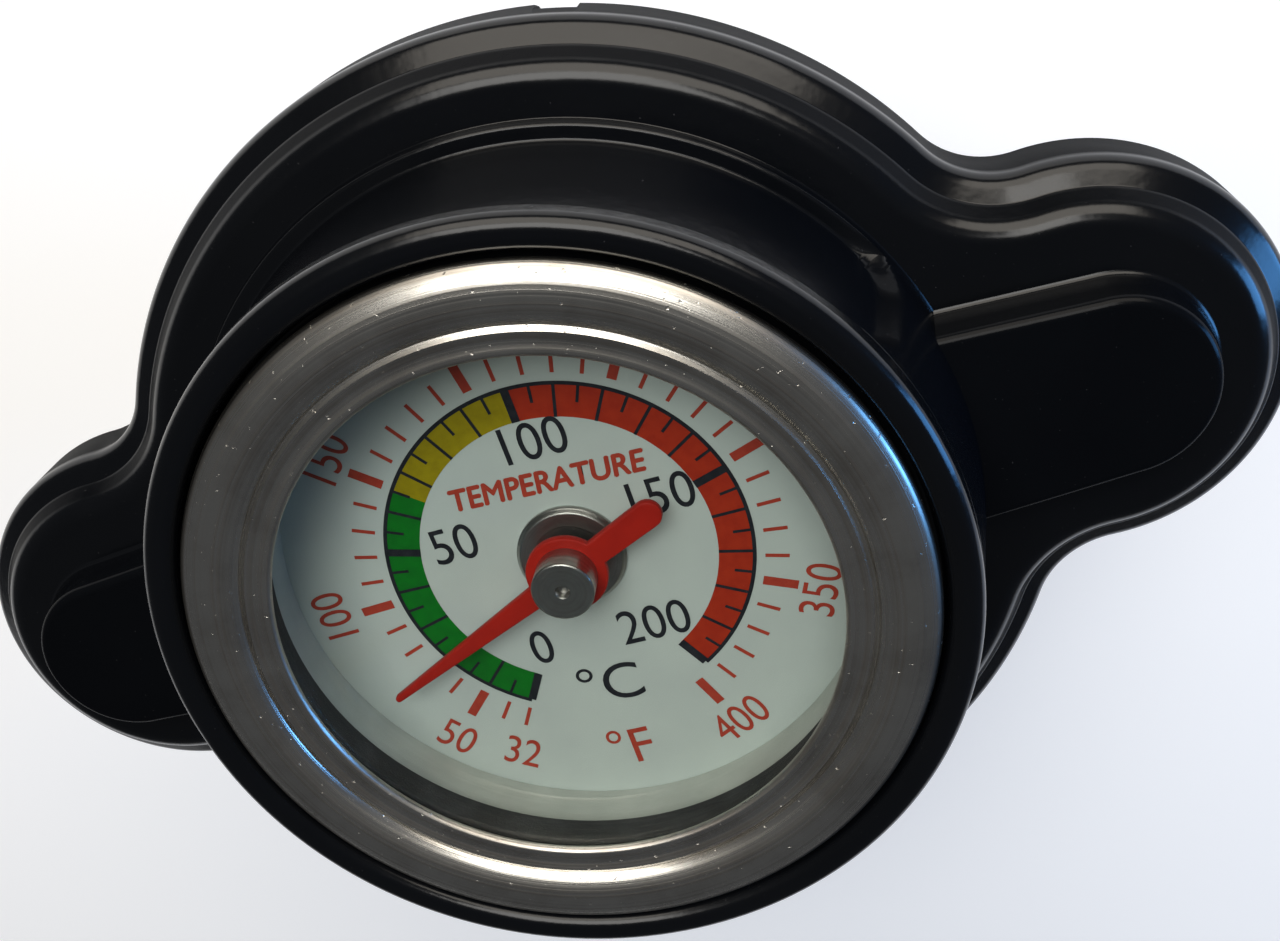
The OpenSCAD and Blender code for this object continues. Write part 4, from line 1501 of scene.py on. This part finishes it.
@dataclass
class ValveStack(Assembly):
    """What hangs below the crown: seals, cage, springs and both valves."""

    crown_z: float = 1.6
    disc_r: float = 17.6
    disc_t: float = 0.4
    disc_under: float = crown_z - disc_t
    hole_r: float = 3.7
    seal_in: float = 12.6
    seal_out: float = 17.2
    groove_depth: float = 0.18
    groove_slope: float = 0.12
    cage_r: float = 9.8
    cage_t: float = 0.6
    cage_under: float = disc_under - cage_t
    cage_flange_r: float = 12.3
    cage_low: float = -9.6
    cage_lip_r: float = 7.45
    window_w: float = 6.0
    window_round: float = 1.4
    window_high: float = -1.6
    window_low: float = -7.6
    valve_r: float = 11.0
    valve_under: float = -13.6
    valve_t: float = 1.2
    valve_top: float = valve_under + valve_t
    valve_bore: float = 4.7
    tube_r: float = 7.1
    tube_in: float = 6.2
    neck_r: float = 6.8
    retainer_z: float = -9.0
    retainer_top: float = retainer_z + 0.8
    retainer_r: float = 8.8
    gasket_in: float = 7.6
    gasket_low: float = -15.2
    sleeve_in: float = 3.35
    sleeve_r: float = 4.3
    sleeve_top: float = -8.8
    flange_r: float = 6.9
    flange_t: float = 0.8
    vacuum_seal_in: float = 4.9
    vacuum_seal_out: float = 6.7
    vacuum_seal_z: float = valve_under - 0.6
    clip_r: float = 5.75
    clip_z: float = -9.6
    clip_t: float = 0.6
    clip_turn: float = math.radians(318)

    def grooved(self, inner: float, outer: float, z_low: float, z_high: float) -> list[Corner]:
        """Draws a rubber ring's section with two shallow grooves in its lower face.

        Args:
            inner: Inner radius.
            outer: Outer radius.
            z_low: The lower face.
            z_high: The upper face.

        Returns:
            The section's corners.
        """
        wide, ease, slope = (outer - inner) / 7, 0.08, self.groove_slope
        floor = z_low + self.groove_depth
        corners = [(inner, z_high, 0.1), (inner, z_low, 0.25)]
        for start in (inner + wide * 2, inner + wide * 4):
            corners += [(start, z_low, ease), (start + slope, floor, ease)]
            corners += [(start + wide - slope, floor, ease), (start + wide, z_low, ease)]
        return [*corners, (outer, z_low, 0.25), (outer, z_high, 0.1)]

    def seals(self) -> None:
        """Makes the spring disc and the three rubber rings."""
        disc = ring(self.hole_r, self.disc_r, self.disc_under, self.crown_z, (0, 0.12, 0.12, 0))
        self.turn("disc_pressed", disc, "spring_steel", Body.CAP, Slot.SPRING_STEEL, "spring_disc")
        upper = self.grooved(self.seal_in, self.seal_out, 0.0, self.disc_under)
        self.turn("upper_seal", upper, "rubber", Body.CAP, Slot.RUBBER, "upper_gasket", steps=4)
        lower = self.grooved(self.gasket_in, self.valve_r, self.gasket_low, self.valve_under)
        self.turn("lower_seal", lower, "rubber", Body.PRESSURE_VALVE, Slot.RUBBER, "valve_gasket", steps=4)
        small = ring(
            self.vacuum_seal_in, self.vacuum_seal_out, self.vacuum_seal_z, self.valve_under, (0.12, 0.12, 0.12, 0.12)
        )
        self.turn("vacuum_seal_ring", small, "rubber", Body.VACUUM_VALVE, Slot.RUBBER, "vacuum_seal")

    def cage(self) -> None:
        """Makes the pressed bell with its four windows."""
        top, under, wall_in = self.disc_under, self.cage_under, self.cage_r - self.cage_t
        lip_top = self.cage_low + self.cage_t
        bell = [
            (self.hole_r, top), (self.cage_flange_r, top, 0.15), (self.cage_flange_r, under, 0.15),
            (self.cage_r, under, 0.35), (self.cage_r, self.cage_low, 0.6), (self.cage_lip_r, self.cage_low, 0.12),
            (self.cage_lip_r, lip_top, 0.12), (wall_in, lip_top, 0.3), (wall_in, under, 0.2), (self.hole_r, under),
        ]
        shape = rounded_rectangle(self.window_w, self.window_high - self.window_low, self.window_round)
        middle = (self.window_high + self.window_low) / 2
        made = revolve("cage_pressed", eased(bell))
        cutters = []
        for turn in (45, 135, 225, 315):
            c, s = math.cos(math.radians(turn)), math.sin(math.radians(turn))
            depths = (self.cage_r - 2.5, self.cage_r + 1)
            rows = [[(out * c - x * s, out * s + x * c, middle + y) for x, y in shape] for out in depths]
            cutters.append(loft("cage_window", rows, caps=ENDS))
        self.dress(cut_away(made, cutters), "brass", Body.CAP, Slot.BRASS, "spring_cage")

    def pressure_valve(self) -> None:
        """Makes the pressure valve's plate and the flange that its spring pushes on."""
        top, tip = self.valve_top, self.retainer_top
        plate = [
            (self.valve_bore, self.valve_under, 0.15), (self.valve_r, self.valve_under, 0.1), (self.valve_r, top, 0.3),
            (self.tube_r, top, 0.5), (self.tube_r, self.retainer_z, 0.1), (self.neck_r, self.retainer_z),
            (self.neck_r, tip, 0.12), (self.tube_in, tip, 0.12), (self.tube_in, top, 0.4), (self.valve_bore, top, 0.2),
        ]
        self.turn("valve_pressed", plate, "brass", Body.PRESSURE_VALVE, Slot.BRASS, "valve_plate")
        flange = ring(self.neck_r, self.retainer_r, self.retainer_z, tip, (0, 0.15, 0.2, 0.1))
        place = ("plain_steel", Body.PRESSURE_VALVE, Slot.STEEL_PLAIN, "valve_retainer")
        self.turn("retainer_pressed", flange, *place)

    def vacuum_valve(self) -> None:
        """Makes the vacuum valve's sleeve and flange, and its open clip."""
        top = self.vacuum_seal_z
        under = top - self.flange_t
        sleeve = [
            (self.sleeve_in, under, 0.15), (self.flange_r, under, 0.25), (self.flange_r, top, 0.12),
            (self.sleeve_r, top, 0.25), (self.sleeve_r, self.sleeve_top, 0.15), (self.sleeve_in, self.sleeve_top, 0.15),
        ]
        self.turn("vacuum_sleeve", sleeve, "brass", Body.VACUUM_VALVE, Slot.BRASS, "vacuum_valve")
        clip = ring(self.sleeve_r, self.clip_r, self.clip_z, self.clip_z + self.clip_t, (0.06, 0.12, 0.12, 0.06))
        place = ("plain_steel", Body.VACUUM_VALVE, Slot.STEEL_PLAIN, "vacuum_clip")
        self.turn("clip_open", clip, *place, sides=120, sweep=self.clip_turn)

    def springs(self) -> None:
        """Makes both springs."""
        tip, under = self.retainer_top, self.cage_under
        main = Coil("pressure_coil", 7.5, tip, under, 2.6, 1.0).wound()
        self.dress(main, "spring_steel", Body.CAP, Slot.SPRING_STEEL, "pressure_spring")
        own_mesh(main)
        seat = self.valve_top
        small = Coil("vacuum_coil", 5.0, seat, self.clip_z, 1.6, 0.3).wound()
        self.dress(small, "spring_steel", Body.PRESSURE_VALVE, Slot.SPRING_STEEL, "vacuum_spring")
        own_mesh(small)

    def build(self) -> None:
        """Makes and dresses the whole stack."""
        for make in (self.seals, self.cage, self.pressure_valve, self.vacuum_valve, self.springs):
            make()


@dataclass
class Stem(Assembly):
    """The probe with its tip, the lock nut above it, and the works inside."""

    stem_r: float = 3.0
    inner_r: float = stem_r - 0.5
    top: float = high("stem_tube")
    drop: float = 25.0
    plug_z: float = 2.5 - drop
    sides: int = 120
    nut_flats: float = 11.0
    nut_low: float = -3.0
    nut_h: float = 3.0
    nut_chamfer: float = 0.5
    nut_bore: float = 3.6
    nut_sides: int = 96
    helix_top: float = -9.7

    INNER_FINISHES = {
        "gauge_case": "bright_steel",
        "gauge_gasket": "rubber",
        "lock_washer": "plain_steel",
        "dial_seat": "plain_steel",
        "guide_upper": "brass",
        "guide_lower": "brass",
        "helix_collar": "brass",
        "pointer_shaft": "turned_steel",
    }

    def probe(self) -> None:
        """Makes the tube and its domed tip."""
        tube = ring(self.inner_r, self.stem_r, -self.drop, self.top, (0, 0.08, 0, 0))
        place = ("bright_steel", Body.CAP, Slot.STAINLESS)
        self.turn("probe_tube", tube, *place, "stem_tube", sides=self.sides)
        dome = [(0.0, self.plug_z), (self.inner_r, self.plug_z), (self.inner_r, -self.drop)]
        dome += arc(spread(0.0, -QUARTER, 20)[:-1], self.stem_r, 0.0, -self.drop)
        dome.append((0.0, -self.drop - self.stem_r))
        self.dress(revolve("probe_tip", dome, sides=self.sides, closed=False), *place, "stem_tip")

    def nut(self) -> None:
        """Makes the hexagon nut with chamfered corners."""
        flat, top = self.nut_flats / 2, self.nut_low + self.nut_h
        corner = flat / math.cos(math.radians(30))
        angles = spread(0.0, math.tau, self.nut_sides)[:-1]

        def hexagon(angle: float, limit: float) -> float:
            """Distance to the hexagon at an angle, held to the chamfer's circle."""
            off = (math.degrees(angle) + 30) % 60 - 30
            return min(flat / math.cos(math.radians(30 - abs(off))), limit)

        chamfer = self.nut_chamfer
        levels = (
            (self.nut_low, flat), (self.nut_low + chamfer, corner), (top - chamfer, corner), (top, flat)
        )
        rows = [[polar(hexagon(a, limit), a, z) for a in angles] for z, limit in levels]
        rows += [[polar(self.nut_bore, a, z) for a in angles] for z in (top, self.nut_low)]
        self.dress(loft("nut_hexagon", rows, tube=True), "brass", Body.CAP, Slot.BRASS, "lock_nut")

    def works(self) -> None:
        """Makes the bimetal strip, and finishes the solids that stay hidden."""
        strip = Coil(
            "bimetal_strip", 1.7, self.plug_z, self.helix_top, 6.0, 0.7, flat=0.35, end_turn=0.3, per_turn=32, sides=8
        )
        self.dress(strip.wound(), "bimetal", Body.CAP, Slot.BIMETAL, "bimetal_helix")
        for node, finish in self.INNER_FINISHES.items():
            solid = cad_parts[node]
            solid.data.materials.clear()
            solid.data.materials.append(self.finishes[finish])

    def build(self) -> None:
        """Makes and dresses the stem."""
        for make in (self.probe, self.nut, self.works):
            make()


# Stage


@dataclass(frozen=True)
class Lamp:
    """A soft rectangular lamp: place, width and height in millimetres, watts and light."""

    name: str
    place: Point3
    wide: float
    tall: float
    power: float
    colour: Colour

    def hang(self, aim: Vector) -> None:
        """Hangs the lamp.

        Args:
            aim: The point that it faces, in millimetres.
        """
        light = bpy.data.lights.new(self.name, "AREA")
        light.shape = "RECTANGLE"
        light.size, light.size_y = self.wide * MM, self.tall * MM
        light.energy, light.color = self.power, self.colour
        stand = new_object(self.name, light)
        stand.location = Vector(self.place) * MM
        stand.rotation_euler = (aim - Vector(self.place)).to_track_quat("-Z", "Y").to_euler()


@dataclass
class Studio:
    """The floor, the light and the camera of the photograph."""

    floor_gap: float = 0.6
    floor_half: float = 900.0
    floor_lift: float = 0.26
    floor_pale: Colour = (0.86, 0.86, 0.86)
    floor_second: Colour = (0.83, 0.83, 0.835)
    room: Colour = (0.62, 0.65, 0.7)
    room_strength: float = 0.12
    camera_at: Point3 = (16.109, 24.843, 55.117)
    turn_x: float = 3.5188
    turn_y: float = 0.2151
    turn_z: float = -0.2787
    photo_wide: float = 1280.0
    photo_high: float = 941.0
    focal_px: float = 1298.98
    centre_px: Point2 = (631.91, 409.04)
    sensor: float = 36.0
    lamp_aim: Point3 = (0.0, 0.0, 8.0)
    lamps: tuple[Lamp, ...] = (
        Lamp("broad_soft", (10, 155, 280), 200, 150, 0.6, (1.0, 0.98, 0.94)),
        Lamp("warm_strip", (70, 238, 145), 320, 180, 0.72, (1.0, 0.93, 0.83)),
        Lamp("cool_right", (300, -60, 50), 90, 190, 0.64, (0.12, 0.42, 1.0)),
    )

    def floor(self) -> None:
        """Lays the plain pale floor under the probe's tip."""
        z, h = CAD_BOX[0].z / MM - self.floor_gap, self.floor_half
        sheet = mesh_object("pale_floor", [(-h, -h, z), (h, -h, z), (h, h, z), (-h, h, z)], [range(4)])
        g = Shader("pale_floor")
        colour = g.mix(g.noise(0.02, 2.0), self.floor_pale, self.floor_second)
        matte = g.node("ShaderNodeBsdfDiffuse", {"Color": colour})
        path = g.tree.nodes.new("ShaderNodeLightPath")
        seen, mirrored, through = (
            Sock(g, path.outputs[f"Is {kind} Ray"]) for kind in ("Camera", "Glossy", "Transmission")
        )
        strength = (seen + mirrored + through) * self.floor_lift
        lift = g.node("ShaderNodeEmission", {"Color": WHITE, "Strength": strength})
        sheet.data.materials.append(g.surface(g.node("ShaderNodeAddShader", {0: matte, 1: lift})))

    def world(self) -> None:
        """Makes a dim even room."""
        made = bpy.data.worlds.new("dim_room")
        made.use_nodes = True
        back = made.node_tree.nodes["Background"]
        back.inputs["Color"].default_value = (*self.room, 1.0)
        back.inputs["Strength"].default_value = self.room_strength
        bpy.context.scene.world = made

    def camera(self) -> None:
        """Sets up the photograph's camera."""
        data = bpy.data.cameras.new("photo_camera")
        data.sensor_fit = "HORIZONTAL"
        data.sensor_width = self.sensor
        data.lens = self.sensor * self.focal_px / self.photo_wide
        data.shift_x = (self.photo_wide / 2 - self.centre_px[0]) / self.photo_wide
        data.shift_y = (self.centre_px[1] - self.photo_high / 2) / self.photo_wide
        data.clip_start, data.clip_end = 0.002, 20.0
        turn = (
            Matrix.Rotation(self.turn_z, 3, "Z")
            @ Matrix.Rotation(self.turn_y, 3, "Y")
            @ Matrix.Rotation(self.turn_x, 3, "X")
        )
        right, down, ahead = turn.row
        axes = Matrix((right, -down, -ahead)).transposed().to_4x4()
        stand = new_object("photo_camera", data)
        stand.matrix_world = Matrix.Translation(Vector(self.camera_at) * MM) @ axes
        bpy.context.scene.camera = stand

    def build(self) -> None:
        """Sets the stage."""
        bpy.context.scene.view_settings.view_transform = "Standard"
        self.floor()
        self.world()
        for lamp in self.lamps:
            lamp.hang(Vector(self.lamp_aim))
        self.camera()


def write_sizes() -> None:
    """Brings the view layer up to date."""
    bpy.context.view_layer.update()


def main() -> None:
    """Builds the object piece by piece, then the stage."""
    logging.basicConfig(level=logging.INFO, format="%(name)s: %(message)s")
    finishes = palette()
    for assembly in (CapCasting, Bezel, DialFace, PointerSet, LensStack, ValveStack, Stem):
        assembly(finishes).build()
    Studio().build()
    write_sizes()


if __name__ == "__main__":
    main()
